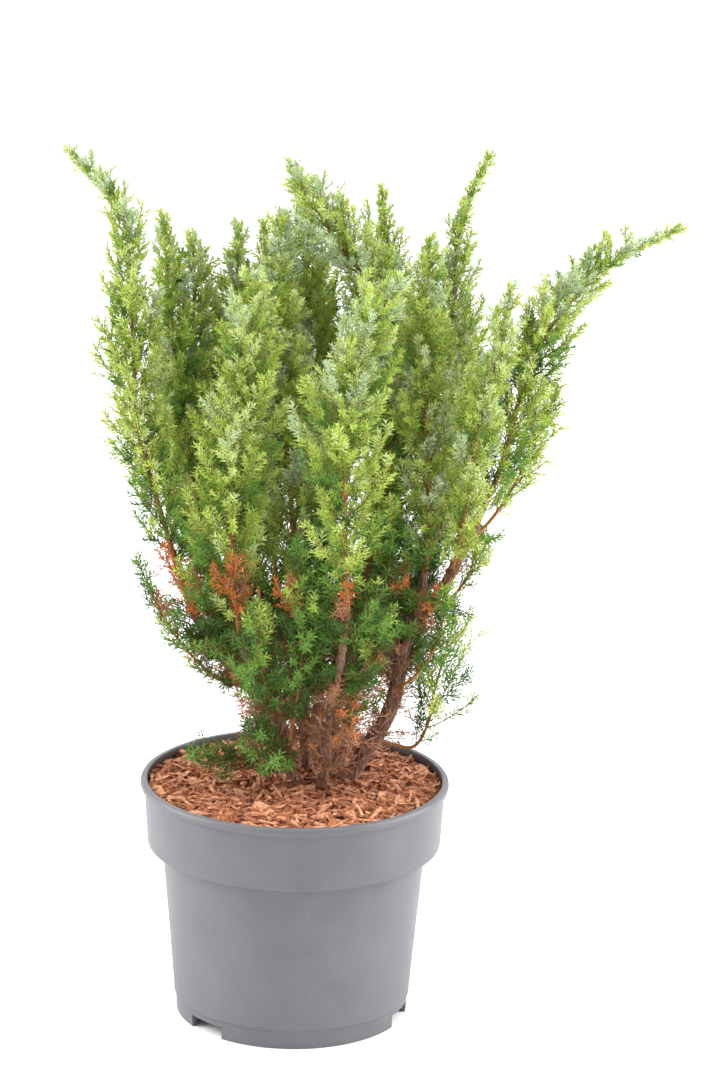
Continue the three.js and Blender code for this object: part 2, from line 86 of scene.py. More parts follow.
# A mesh object from corners in millimetres and a list of face arrays, each with faces of one size
def meshObject(name, corners, faceSets, material=None, smooth=True):
    mesh = bpy.data.meshes.new(name)
    corners = np.asarray(corners, dtype=np.float32) * mm
    mesh.vertices.add(len(corners))
    mesh.vertices.foreach_set("co", corners.ravel())
    if faceSets:
        sizes = np.concatenate([np.full(len(faces), faces.shape[1]) for faces in faceSets])
        loops = np.concatenate([faces.ravel() for faces in faceSets]).astype(np.int32)
        mesh.loops.add(len(loops))
        mesh.loops.foreach_set("vertex_index", loops)
        mesh.polygons.add(len(sizes))
        starts = np.concatenate([[0], np.cumsum(sizes)[:-1]]).astype(np.int32)
        mesh.polygons.foreach_set("loop_start", starts)
        mesh.polygons.foreach_set("use_smooth", np.full(len(sizes), smooth))
    mesh.update(calc_edges=True)
    piece = bpy.data.objects.new(name, mesh)
    bpy.context.collection.objects.link(piece)
    if material:
        mesh.materials.append(material)
    return piece


def declare(piece, slotName, *nodes):
    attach(piece, "root")
    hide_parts(*nodes)


def unit(vectors):
    return vectors / np.maximum(np.linalg.norm(vectors, axis=-1, keepdims=True), 1e-9)


# A smooth curve through points, as even samples along its length
def curveThrough(points, count=120, steps=40):
    way = np.array(points, dtype=float)
    way = np.vstack([2 * way[0] - way[1], way, 2 * way[-1] - way[-2]])
    dense = []
    for before, start, end, after in zip(way, way[1:], way[2:], way[3:]):
        stretches = ((before, start), (start, end), (end, after))
        gaps = [np.sqrt(np.linalg.norm(far - near)) for near, far in stretches]
        leaving = (start - before) / gaps[0] - (end - before) / (gaps[0] + gaps[1]) + (end - start) / gaps[1]
        arriving = (end - start) / gaps[1] - (after - start) / (gaps[1] + gaps[2]) + (after - end) / gaps[2]
        leaving, arriving = leaving * gaps[1], arriving * gaps[1]
        share = np.linspace(0, 1, steps, endpoint=False)[:, None]
        dense.append(start + leaving * share
                     + (3 * (end - start) - 2 * leaving - arriving) * share ** 2
                     + (2 * (start - end) + leaving + arriving) * share ** 3)
    dense = np.vstack(dense + [way[-2:-1]])
    lengths = np.concatenate([[0], np.cumsum(np.linalg.norm(np.diff(dense, axis=0), axis=1))])
    even = np.linspace(0, lengths[-1], count)
    samples = np.stack([np.interp(even, lengths, dense[:, axis]) for axis in range(3)], axis=1)
    return {"samples": samples, "length": lengths[-1]}


def pointAt(curve, share):
    places = np.clip(share, 0, 1) * (len(curve["samples"]) - 1)
    grid = np.arange(len(curve["samples"]))
    return np.stack([np.interp(places, grid, curve["samples"][:, axis]) for axis in range(3)], axis=-1)


def tangentAt(curve, share, step=0.01):
    share = np.clip(share, step, 1 - step)
    return unit(pointAt(curve, share + step) - pointAt(curve, share - step))


# Curves with one bend, many at once: the point and the direction at each share
def bent(roots, bends, ends, share):
    share = share[..., None]
    point = (1 - share) ** 2 * roots + 2 * share * (1 - share) * bends + share ** 2 * ends
    return point, unit(2 * (1 - share) * (bends - roots) + 2 * share * (ends - bends))


def turned(vectors, axes, angles):
    cosines, sines = np.cos(angles)[..., None], np.sin(angles)[..., None]
    along = np.sum(axes * vectors, axis=-1, keepdims=True)
    return vectors * cosines + np.cross(axes, vectors) * sines + axes * along * (1 - cosines)


# Round bars along many paths at once, closed at both ends. The paths are bars x rings x 3, and the
# radii are bars x rings, or bars x rings x sides where a bar isn't round.
def bars(paths, radii, sides):
    count, rings = paths.shape[:2]
    along = unit(np.gradient(paths, axis=1))
    middle = along[:, rings // 2]
    steady = np.eye(3)[np.argmin(np.abs(middle), axis=1)][:, None, :]
    first = unit(np.cross(along, steady))
    second = np.cross(along, first)
    turn = np.arange(sides) / sides * fullTurn
    if radii.ndim == 2:
        radii = np.repeat(radii[:, :, None], sides, axis=2)
    corners = (paths[:, :, None]
               + radii[..., None] * np.cos(turn)[None, None, :, None] * first[:, :, None]
               + radii[..., None] * np.sin(turn)[None, None, :, None] * second[:, :, None])
    bar, ring, side = np.meshgrid(np.arange(count), np.arange(rings - 1), np.arange(sides), indexing="ij")
    here = (bar * rings + ring) * sides
    beside = (side + 1) % sides
    quads = np.stack([here + side, here + beside, here + sides + beside, here + sides + side], axis=-1)
    foot = (np.arange(count) * rings * sides)[:, None] + np.arange(sides)[::-1]
    tip = (np.arange(count) * rings * sides + (rings - 1) * sides)[:, None] + np.arange(sides)
    return corners.reshape(-1, 3), [quads.reshape(-1, 4), foot, tip]


# Flat rings of points round the middle, and the faces between them
def ringPoints(radii, segments):
    turn = np.linspace(0, fullTurn, segments, endpoint=False)
    flat = np.zeros((len(radii), segments))
    return np.stack([np.outer(radii, np.cos(turn)), np.outer(radii, np.sin(turn)), flat], -1).reshape(-1, 3)


def ringFaces(rings, segments):
    ring, side = np.meshgrid(np.arange(rings - 1), np.arange(segments), indexing="ij")
    here = ring * segments + side
    beside = ring * segments + (side + 1) % segments
    return np.stack([here, here + segments, beside + segments, beside], axis=-1).reshape(-1, 4)


# Soft lumps and folds: a sum of waves about size millimetres long, with seeded directions. Each
# further octave has waves of half the length and half the height.
def waves(points, size, seed, octaves=3, perOctave=5):
    draw = np.random.default_rng(seed)
    total = np.zeros(len(points))
    for octave in range(octaves):
        for _ in range(perOctave):
            direction = unit(draw.normal(size=3)) * fullTurn / size * 2 ** octave
            total += np.sin(points @ direction + draw.uniform(0, drawnTurn)) / 2 ** octave
    return total / (perOctave - 1)


# Materials. Every pattern reads the object's coordinates in millimetres, so that its scale is a size.
def newMaterial(name, roughness, specular=0.5):
    material = bpy.data.materials.new(name)
    material.use_nodes = True
    shader = material.node_tree.nodes["Principled BSDF"]
    shader.inputs["Roughness"].default_value = roughness
    shader.inputs["Specular IOR Level"].default_value = specular
    return material, material.node_tree, shader


def millimetres(tree, stretch=1.0):
    place = addNode(tree, "ShaderNodeTexCoord")
    scale = (1 / mm, 1 / mm, stretch / mm)
    return addNode(tree, "ShaderNodeVectorMath", {0: place.outputs["Object"], 1: scale}, operation="MULTIPLY")


# Polypropylene, injection moulded: a satin grey whose gloss drifts a little with the flow of the
# melt, under pale specks of dust. The mould's grain is about 0.1 mm, which is too fine to show. It is
# drawn at 0.35 mm, where it softens the highlights.
plasticLook = {
    "greys": [(0.3, "#5a5a5f"), (0.5, "#5f5e62"), (0.72, "#646367")], "gloss": (0.42, 0.54), "flow": 34,
    "dust": "#84827f", "dustShare": 0.25, "speck": 1.6, "grain": 0.35, "grainDepth": 0.04, "specular": 0.45
}


def makePotPlastic():
    look = plasticLook
    material, tree, shader = newMaterial("polypropylene_moulded_grey", look["gloss"][0], look["specular"])
    place = millimetres(tree)
    flow, speck, grain = [
        addNode(tree, "ShaderNodeTexNoise", {
            "Vector": place, "Scale": 1 / look[name], "Detail": detail, "Roughness": 0.55})
        for name, detail in (("flow", 4.0), ("speck", 2.0), ("grain", 2.0))]
    grey = addNode(tree, "ShaderNodeValToRGB", {"Fac": flow}, stops=look["greys"])
    dust = addNode(tree, "ShaderNodeMapRange", {
        "Value": speck, "From Min": 0.62, "From Max": 0.75, "To Max": look["dustShare"]})
    tint = addNode(tree, "ShaderNodeMix", {0: dust, 6: grey, 7: colour(look["dust"])}, data_type="RGBA")
    gloss = addNode(tree, "ShaderNodeMapRange", {
        "Value": flow, "From Min": 0.3, "From Max": 0.7,
        "To Min": look["gloss"][0], "To Max": look["gloss"][1]})
    relief = addNode(tree, "ShaderNodeBump", {
        "Height": grain, "Distance": look["grainDepth"] * mm, "Strength": 0.5})
    tree.links.new(tint.outputs[2], shader.inputs["Base Color"])
    tree.links.new(gloss.outputs[0], shader.inputs["Roughness"])
    tree.links.new(relief.outputs[0], shader.inputs["Normal"])
    return material


# Bark and soil, matt and grained. Pine bark that was shredded for mulch has pale torn edges and darker
# patches where it is damp. Its fibres are half a millimetre thick, and are drawn at 2.6 mm so that
# they show. Living juniper bark flakes in strips 1.5 mm wide, grey over orange brown. Potting soil is
# milled peat and bark, in dark crumbs. A stretch below one draws a pattern out in height, the way
# the limbs run.
grainLooks = {
    "crumbly": {
        "fibre": 3.5, "fibreStretch": 1.0, "fibreRoughness": 0.7, "tonePlaces": (0.3, 0.7),
        "patch": 7.0, "patchStretch": 1.0, "patchDetail": 2.0, "patchFrom": 0.4, "patchShare": 0.0,
        "relief": 2.0, "roughness": 0.95},
    "shredded": {
        "fibre": 2.6, "fibreStretch": 1.0, "fibreRoughness": 0.65, "tonePlaces": (0.28, 0.5, 0.74),
        "patch": 7.0, "patchStretch": 1.0, "patchDetail": 2.0, "patchFrom": 0.4, "patchShare": 0.45,
        "relief": 0.8, "roughness": 0.88},
    "flaking": {
        "fibre": 1.5, "fibreStretch": 0.16, "fibreRoughness": 0.6, "tonePlaces": (0.3, 0.5, 0.7),
        "patch": 5.5, "patchStretch": 0.35, "patchDetail": 3.0, "patchFrom": 0.5, "patchShare": 0.6,
        "relief": 0.6, "roughness": 0.85}
}


def makeGrained(name, kind, tones, patchTone):
    look = grainLooks[kind]
    material, tree, shader = newMaterial(name, look["roughness"])
    fibre = addNode(tree, "ShaderNodeTexNoise", {
        "Vector": millimetres(tree, look["fibreStretch"]), "Scale": 1 / look["fibre"],
        "Detail": 5.0, "Roughness": look["fibreRoughness"]})
    patch = addNode(tree, "ShaderNodeTexNoise", {
        "Vector": millimetres(tree, look["patchStretch"]), "Scale": 1 / look["patch"],
        "Detail": look["patchDetail"], "Roughness": 0.55})
    brown = addNode(tree, "ShaderNodeValToRGB", {"Fac": fibre}, stops=list(zip(look["tonePlaces"], tones)))
    share = addNode(tree, "ShaderNodeMapRange", {
        "Value": patch, "From Min": look["patchFrom"], "From Max": 0.7, "To Max": look["patchShare"]})
    tint = addNode(tree, "ShaderNodeMix", {0: share, 6: brown, 7: colour(patchTone)}, data_type="RGBA")
    relief = addNode(tree, "ShaderNodeBump", {
        "Height": fibre, "Distance": look["relief"] * mm, "Strength": 1.0})
    tree.links.new(tint.outputs[2], shader.inputs["Base Color"])
    tree.links.new(relief.outputs[0], shader.inputs["Normal"])
    return material


# Needles and twigs carry one plain colour each, dealt out by spray. Living needles are a little
# glossy under their wax, and withered ones and dry twigs are nearly matt.
def makePlain(name, code, roughness=0.6, specular=0.3):
    material, _, shader = newMaterial(name, roughness, specular)
    shader.inputs["Base Color"].default_value = colour(code)
    return material


print("materials")
potPlastic = makePotPlastic()
pottingSoil = makeGrained("peat_soil_crumbly", "crumbly", ("#1d130c", "#4a3222"), "#1d130c")
chipMaterials = {
    # The dark bark lies lowest, as the bed and the crumbs between the chips. Its tone is partly the bark's
    # own and partly painted shade for the gaps.
    "dark": makeGrained("pine_bark_shredded_dark_and_painted_shade", "shredded", ("#3a1d11", "#6f3c22", "#96603f"), "#3a1d11"),
    "middle": makeGrained("pine_bark_shredded", "shredded", ("#66331e", "#a3623f", "#cb8f66"), "#66331e"),
    # The light bark lies highest, as the splinters and flakes on top. Its tone is partly the bark's own and
    # partly painted light on the top chips.
    "light": makeGrained("pine_bark_shredded_light_and_painted_light", "shredded", ("#935b3e", "#c98d68", "#eab995"), "#935b3e")
}
limbBark = makeGrained("juniper_bark_flaking", "flaking", ("#3e281e", "#7e5c49", "#ab8e7e"), "#86543a")
youngBark = makeGrained("juniper_bark_young", "flaking", ("#5e3a20", "#a06c38", "#c49a66"), "#8c5a2c")
needleMaterials = {
    # The shaded tone is painted shade, for the foliage low down and inside the crown.
    "dark": makePlain("juniper_needle_shaded", "#43662a"),
    "deep": makePlain("juniper_needle_deep_green", "#6f9842"),
    "olive": makePlain("juniper_needle_olive_green", "#a3ba52"),
    "fresh": makePlain("juniper_needle_fresh_green", "#bccc68"),
    "pale": makePlain("juniper_needle_pale_green", "#cad78f"),
    "bloom": makePlain("juniper_needle_waxy_bloom", "#bfcfa6"),
    "dead": makePlain("juniper_needle_withered_orange", "#c9793f", 0.75, 0.15),
    "dried": makePlain("juniper_needle_dried_brown", "#a27653", 0.8, 0.1)
}
twigMaterials = {
    "green": makePlain("juniper_twig_young_green", "#869246", 0.65, 0.2),
    "brown": makePlain("juniper_twig_orange_brown", "#94682f", 0.75, 0.2),
    "dry": makePlain("juniper_twig_dry_brown", "#bb9476", 0.8, 0.15)
}


# The pot is one outline, from the middle of its underside out round the foot, up the body and the
# collar, over the rim and down inside, turned about the middle. A notch lifts the skirt's edge, and
# its azimuth is in degrees from the front.
pot = {
    "footRadius": 83, "skirtHeight": 14.5, "bodyFootRadius": 84.6, "bodyTopRadius": 94.4,
    "shoulderHeight": 126.5, "collarFootRadius": 104.8, "collarTopRadius": 107.2,
    "lipHeight": 168, "lipRadius": 110.2, "rimHeight": 174, "wall": 2.4, "corner": 2.6, "rounding": 1.6,
    "edge": 0.4, "poleRadius": 0.01, "padRadius": 66, "channelHeight": 9.5, "segments": 240, "sharpAngle": 32,
    "notchHeight": 8.8, "notchWidth": 31, "notchAzimuths": (-47, 71, 192), "notchFlank": (0.002, 0.0005)
}


def rounded(start, bend, end, steps):
    share = np.linspace(0, 1, steps + 1)[:, None]
    curve = (1 - share) ** 2 * np.array(start) + 2 * share * (1 - share) * np.array(bend)
    return (curve + share ** 2 * np.array(end)).tolist()


def bodyRadius(height):
    slope = (pot["bodyTopRadius"] - pot["bodyFootRadius"]) / (pot["shoulderHeight"] - pot["skirtHeight"])
    return pot["bodyFootRadius"] + slope * (height - pot["skirtHeight"])


def collarRadius(height):
    slope = (pot["collarTopRadius"] - pot["collarFootRadius"]) / (pot["lipHeight"] - pot["shoulderHeight"])
    return pot["collarFootRadius"] + slope * (height - pot["shoulderHeight"])


# The outline as radius and height, and the stretch of it that a notch lifts
def potOutline():
    foot, pad, bodyFoot = pot["footRadius"], pot["padRadius"], pot["bodyFootRadius"]
    collarFoot, collarTop, lipEdge = pot["collarFootRadius"], pot["collarTopRadius"], pot["lipRadius"]
    skirt, shoulder, lip, rim = pot["skirtHeight"], pot["shoulderHeight"], pot["lipHeight"], pot["rimHeight"]
    wall, edge, rounding, channel = pot["wall"], pot["edge"], pot["rounding"], pot["channelHeight"]
    outline = [(pot["poleRadius"], 0), (pad - 1, 0), (pad, edge)]
    outline += [(pad + wall, channel), (foot - 2 * wall, channel)]
    liftedFrom = len(outline)
    outline += [(foot - wall, 0.3), (foot - wall + 0.3, 0), (foot - edge, 0), (foot, edge)]
    lifted = slice(liftedFrom, len(outline))
    # The skirt steps out to the body, which widens up to the shoulder under the collar.
    outline += [(foot + 0.45, 9.2), (foot + 0.7, skirt - 1.2)]
    outline += rounded((foot + 0.72, skirt - 0.9), (bodyFoot + 0.2, skirt - 0.6),
                       (bodyFoot + 0.25, skirt + 0.2), 3)
    outline += [(bodyRadius(height), height) for height in (skirt + 0.8, 40, 70, 100, shoulder - 4)]
    bodyTop = bodyRadius(shoulder)
    outline += rounded((bodyRadius(shoulder - rounding), shoulder - rounding), (bodyTop, shoulder),
                       (bodyTop + rounding, shoulder), 3)
    outline += [(collarFoot - pot["corner"], shoulder)]
    outline += rounded((collarFoot - rounding, shoulder), (collarFoot, shoulder),
                       (collarRadius(shoulder + rounding), shoulder + rounding), 4)
    outline += [(collarRadius(height), height) for height in (shoulder + 3, 140, 155, lip - 1.2)]
    # The lip turns out, over and down again.
    outline += rounded((collarRadius(lip - 0.8), lip - 0.8), (collarRadius(lip), lip),
                       (lipEdge - 1.2, lip + 0.3), 3)
    outline += rounded((lipEdge - 0.6, lip + 0.8), (lipEdge + 0.4, rim - 2.5), (lipEdge - 0.5, rim - 1.4), 4)
    outline += rounded((lipEdge - 0.7, rim - 1), (lipEdge - 1.2, rim), (lipEdge - 2.4, rim), 3)
    outline += [(collarTop - 0.6, rim)]
    outline += rounded((collarTop - 1.2, rim), (collarTop - 2, rim), (collarTop - 2.2, rim - 1.2), 3)
    # The inside keeps one wall's thickness from the outside.
    outline += [(collarRadius(height) - wall, height) for height in (lip, 150, shoulder + wall)]
    outline += [(bodyRadius(height) - wall, height) for height in (shoulder + wall, 60, channel + wall)]
    outline += [(pad, channel + wall), (pad - wall, wall), (pot["poleRadius"], wall)]
    return np.array(outline), lifted


# Where the outline stands round the pot, and whether it is lifted there. A pair stands at each side
# of a notch, one lifted and one down, so that its flank is upright.
def potColumns():
    half = math.asin(pot["notchWidth"] / 2 / pot["footRadius"])
    notches = [math.radians(degrees - 90) % fullTurn for degrees in pot["notchAzimuths"]]
    inside, outside = pot["notchFlank"]
    columns = [(turn, any(abs((turn - notch + math.pi) % fullTurn - math.pi) < half for notch in notches))
               for turn in np.linspace(0, fullTurn, pot["segments"], endpoint=False)]
    for notch in notches:
        for side in (-1, 1):
            columns += [((notch + side * (half - inside)) % fullTurn, True),
                        ((notch + side * (half + outside)) % fullTurn, False)]
    turns, lifted = np.array(sorted(columns)).T
    return turns[:, None], lifted.astype(bool)


def makePot():
    outline, skirt = potOutline()
    turns, lifted = potColumns()
    count, rings = len(turns), len(outline)
    radii = np.tile(outline[:, 0], (count, 1))
    heights = np.tile(outline[:, 1], (count, 1))
    heights[lifted, skirt] += pot["notchHeight"]
    corners = np.stack([radii * np.cos(turns), radii * np.sin(turns), heights], axis=-1)
    column, ring = np.meshgrid(np.arange(count), np.arange(rings - 1), indexing="ij")
    here, beside = column * rings + ring, (column + 1) % count * rings + ring
    quads = np.stack([here, beside, beside + 1, here + 1], axis=-1).reshape(-1, 4)
    underside = (np.arange(count) * rings)[None, ::-1]
    inside = (np.arange(count) * rings + rings - 1)[None, :]
    piece = meshObject("pot_shell", corners.reshape(-1, 3), [quads, underside, inside], potPlastic)
    piece.data.validate()
    piece.data.shade_smooth()
    piece.data.set_sharp_from_angle(angle=math.radians(pot["sharpAngle"]))
    declare(piece, "pot_plastic", "pot")


print("pot")
makePot()
soilMesh = bpy.data.objects["potting_soil"].data
soilMesh.materials.clear()
soilMesh.materials.append(pottingSoil)


# A geometry node tree with named inputs, each a label, a socket type and a value
def newTree(name, sockets):
    tree = bpy.data.node_groups.new(name, "GeometryNodeTree")
    tree.interface.new_socket("Geometry", in_out="INPUT", socket_type="NodeSocketGeometry")
    for label, kind, value in sockets:
        socket = tree.interface.new_socket(label, in_out="INPUT", socket_type=kind)
        if value is not None:
            socket.default_value = value
    tree.interface.new_socket("Geometry", in_out="OUTPUT", socket_type="NodeSocketGeometry")
    return tree, addNode(tree, "NodeGroupInput"), addNode(tree, "NodeGroupOutput")


# Runs the tree on the holder, and returns what it makes as a plain mesh object
def grown(holder, tree, name, inputs):
    modifier = holder.modifiers.new("growth", "NODES")
    modifier.node_group = tree
    identifiers = {item.name: item.identifier for item in tree.interface.items_tree if item.in_out == "INPUT"}
    for label, value in inputs.items():
        modifier[identifiers[label]] = value
    bpy.context.view_layer.update()
    evaluated = holder.evaluated_get(bpy.context.evaluated_depsgraph_get())
    mesh = bpy.data.meshes.new_from_object(evaluated)
    mesh.name = name
    holder.modifiers.remove(modifier)
    bpy.data.objects.remove(holder)
    piece = bpy.data.objects.new(name, mesh)
    bpy.context.collection.objects.link(piece)
    return piece


# The mulch is a lumpy bed, in millimetres, with bark strewn on it in five layers, in metres as the
# node tree takes them. chip holds the factors between which a chip's size is drawn, its whole turn,
# and how far the noise bends it.
mulch = {
    "height": 168.2, "edgeRadius": 104.2, "flatRadius": 64, "drop": 1.2, "lump": 1.1, "lumpSize": 19,
    "lumpSeed": 3, "bottom": 150.6, "bottomShare": 0.985, "rings": 44, "segments": 150,
    "poleRadius": 0.05, "fieldMargin": 1.5, "fieldRings": 14, "fieldSegments": 64, "wallMargin": 0.2
}
chip = {
    "shortest": 0.35, "narrowest": 0.45, "widest": 1.35, "thinnest": 0.5, "thickest": 1.5, "turn": 6.283,
    "turnSeedStep": 17.0, "bendScale": 260.0, "bend": (0.0044, 0.0044, 0.0030)
}
chipLayers = {
    # The dark crumbs lie lowest, partly as painted shade between the chips.
    "crumbs": {"tone": "dark", "Density": 60000.0, "Seed": 4, "Spacing": 0.0025, "Length": 0.0065,
               "Width": 0.0026, "Depth": 0.0014, "Lift": 0.0004},
    "chips": {"tone": "middle", "Density": 16000.0, "Seed": 9, "Spacing": 0.0046, "Length": 0.014,
              "Width": 0.0048, "Depth": 0.0018, "Lift": 0.0010},
    "shreds": {"tone": "middle", "Density": 60000.0, "Seed": 15, "Spacing": 0.0030, "Length": 0.011,
               "Width": 0.0018, "Depth": 0.0011, "Lift": 0.0016},
    # The light splinters and flakes lie highest, partly as painted light on the top of the bed.
    "splinters": {"tone": "light", "Density": 16000.0, "Seed": 23, "Spacing": 0.0052, "Length": 0.017,
                  "Width": 0.0020, "Depth": 0.0011, "Lift": 0.0021},
    "flakes": {"tone": "light", "Density": 3000.0, "Seed": 31, "Spacing": 0.011, "Length": 0.015,
               "Width": 0.0060, "Depth": 0.0016, "Lift": 0.0020}
}


# The bed's top as rings of points: nearly flat, lower towards the wall, and lumpy
def mulchTop(outerRadius, rings, segments):
    points = ringPoints(np.linspace(mulch["poleRadius"], outerRadius, rings), segments)
    radius = np.linalg.norm(points[:, :2], axis=1)
    outwards = np.clip((radius - mulch["flatRadius"]) / (mulch["edgeRadius"] - mulch["flatRadius"]), 0, 1)
    lumps = waves(points, mulch["lumpSize"], mulch["lumpSeed"])
    points[:, 2] = mulch["height"] - mulch["drop"] * outwards + mulch["lump"] * lumps
    return points


# The bed is dark bark that shows only between the chips, partly as painted shade.
def makeMulchBed():
    rings, segments = mulch["rings"], mulch["segments"]
    top = mulchTop(mulch["edgeRadius"], rings, segments)
    bottom = top[-segments:] * [mulch["bottomShare"], mulch["bottomShare"], 0] + [0, 0, mulch["bottom"]]
    middle = np.arange(segments)[None, :]
    underside = (rings * segments + np.arange(segments))[None, ::-1]
    faceSets = [ringFaces(rings + 1, segments), middle, underside]
    declare(meshObject("mulch_bed", np.vstack([top, bottom]), faceSets, chipMaterials["dark"]),
            "bark_mulch", "bark_mulch")


# A chip is a bent, ragged splinter. The chips of a layer stand on seeded points of the bed, and each
# has its own turn and size.
def makeChipTree():
    tree, start, end = newTree("chips_strewn", [
        ("Density", "NodeSocketFloat", 9000.0), ("Spacing", "NodeSocketFloat", 0.003),
        ("Seed", "NodeSocketInt", 1), ("Material", "NodeSocketMaterial", None),
        ("Length", "NodeSocketFloat", 0.012), ("Width", "NodeSocketFloat", 0.0045),
        ("Depth", "NodeSocketFloat", 0.002), ("Longest", "NodeSocketFloat", 1.5),
        ("Tilt", "NodeSocketFloat", 0.35), ("Lift", "NodeSocketFloat", 0.001)
    ])
    given = start.outputs
    strewn = addNode(tree, "GeometryNodeDistributePointsOnFaces", {
        "Mesh": given["Geometry"], "Distance Min": given["Spacing"], "Density Max": given["Density"],
        "Seed": given["Seed"]}, distribute_method="POISSON")
    size = addNode(tree, "ShaderNodeCombineXYZ", {
        "X": given["Length"], "Y": given["Width"], "Z": given["Depth"]})
    block = addNode(tree, "GeometryNodeMeshCube", {
        "Size": size, "Vertices X": 5, "Vertices Y": 3, "Vertices Z": 2})
    smallest = addNode(tree, "ShaderNodeCombineXYZ", {
        "X": chip["shortest"], "Y": chip["narrowest"], "Z": chip["thinnest"]})
    largest = addNode(tree, "ShaderNodeCombineXYZ", {
        "X": given["Longest"], "Y": chip["widest"], "Z": chip["thickest"]})
    scale = addNode(tree, "FunctionNodeRandomValue", {
        "Min": smallest, "Max": largest, "Seed": given["Seed"]}, data_type="FLOAT_VECTOR")
    tiltBack = addNode(tree, "ShaderNodeMath", {0: given["Tilt"], 1: -1.0}, operation="MULTIPLY")
    turnFrom = addNode(tree, "ShaderNodeCombineXYZ", {"X": tiltBack, "Y": tiltBack, "Z": 0.0})
    turnTo = addNode(tree, "ShaderNodeCombineXYZ", {
        "X": given["Tilt"], "Y": given["Tilt"], "Z": chip["turn"]})
    turnSeed = addNode(tree, "ShaderNodeMath", {0: given["Seed"], 1: chip["turnSeedStep"]}, operation="ADD")
    turn = addNode(tree, "FunctionNodeRandomValue", {
        "Min": turnFrom, "Max": turnTo, "Seed": turnSeed}, data_type="FLOAT_VECTOR")
    rotation = addNode(tree, "FunctionNodeEulerToRotation", {0: turn})
    placed = addNode(tree, "GeometryNodeInstanceOnPoints", {
        "Points": strewn, "Instance": block, "Rotation": rotation, "Scale": scale})
    real = addNode(tree, "GeometryNodeRealizeInstances", {"Geometry": placed})
    # The noise bends each chip by where it lies, so no two are alike.
    noise = addNode(tree, "ShaderNodeTexNoise", {
        "Vector": addNode(tree, "GeometryNodeInputPosition"), "Scale": chip["bendScale"], "Detail": 2.0})
    centred = addNode(tree, "ShaderNodeVectorMath", {0: noise.outputs["Color"], 1: (0.5, 0.5, 0.5)},
                      operation="SUBTRACT")
    lift = addNode(tree, "ShaderNodeCombineXYZ", {"X": 0.0, "Y": 0.0, "Z": given["Lift"]})
    shift = addNode(tree, "ShaderNodeVectorMath", {0: centred, 1: chip["bend"], 2: lift},
                    operation="MULTIPLY_ADD")
    bentChips = addNode(tree, "GeometryNodeSetPosition", {"Geometry": real, "Offset": shift})
    painted = addNode(tree, "GeometryNodeSetMaterial", {"Geometry": bentChips, "Material": given["Material"]})
    tree.links.new(painted.outputs[0], end.inputs["Geometry"])
    return tree


# The chips lie on a coarser copy of the bed's top. What would stand in the pot's wall is drawn inwards.
def makeChips():
    tree = makeChipTree()
    rings, segments = mulch["fieldRings"], mulch["fieldSegments"]
    top = mulchTop(mulch["edgeRadius"] - mulch["fieldMargin"], rings, segments)
    limit = (mulch["edgeRadius"] - mulch["wallMargin"]) * mm
    for name, layer in chipLayers.items():
        inputs = {label: value for label, value in layer.items() if label != "tone"}
        inputs["Material"] = chipMaterials[layer["tone"]]
        field = meshObject(name + "_field", top, [ringFaces(rings, segments)])
        piece = grown(field, tree, "bark_" + name, inputs)
        corners = np.empty(3 * len(piece.data.vertices), dtype=np.float32)
        piece.data.vertices.foreach_get("co", corners)
        corners = corners.reshape(-1, 3)
        corners[:, :2] *= np.minimum(1, limit / np.linalg.norm(corners[:, :2], axis=1))[:, None]
        piece.data.vertices.foreach_set("co", corners.ravel())
        piece.data.shade_flat()
        declare(piece, "bark_mulch", "bark_mulch")
        print("bark", name, len(piece.data.polygons), "faces")


print("mulch")
makeMulchBed()
makeChips()


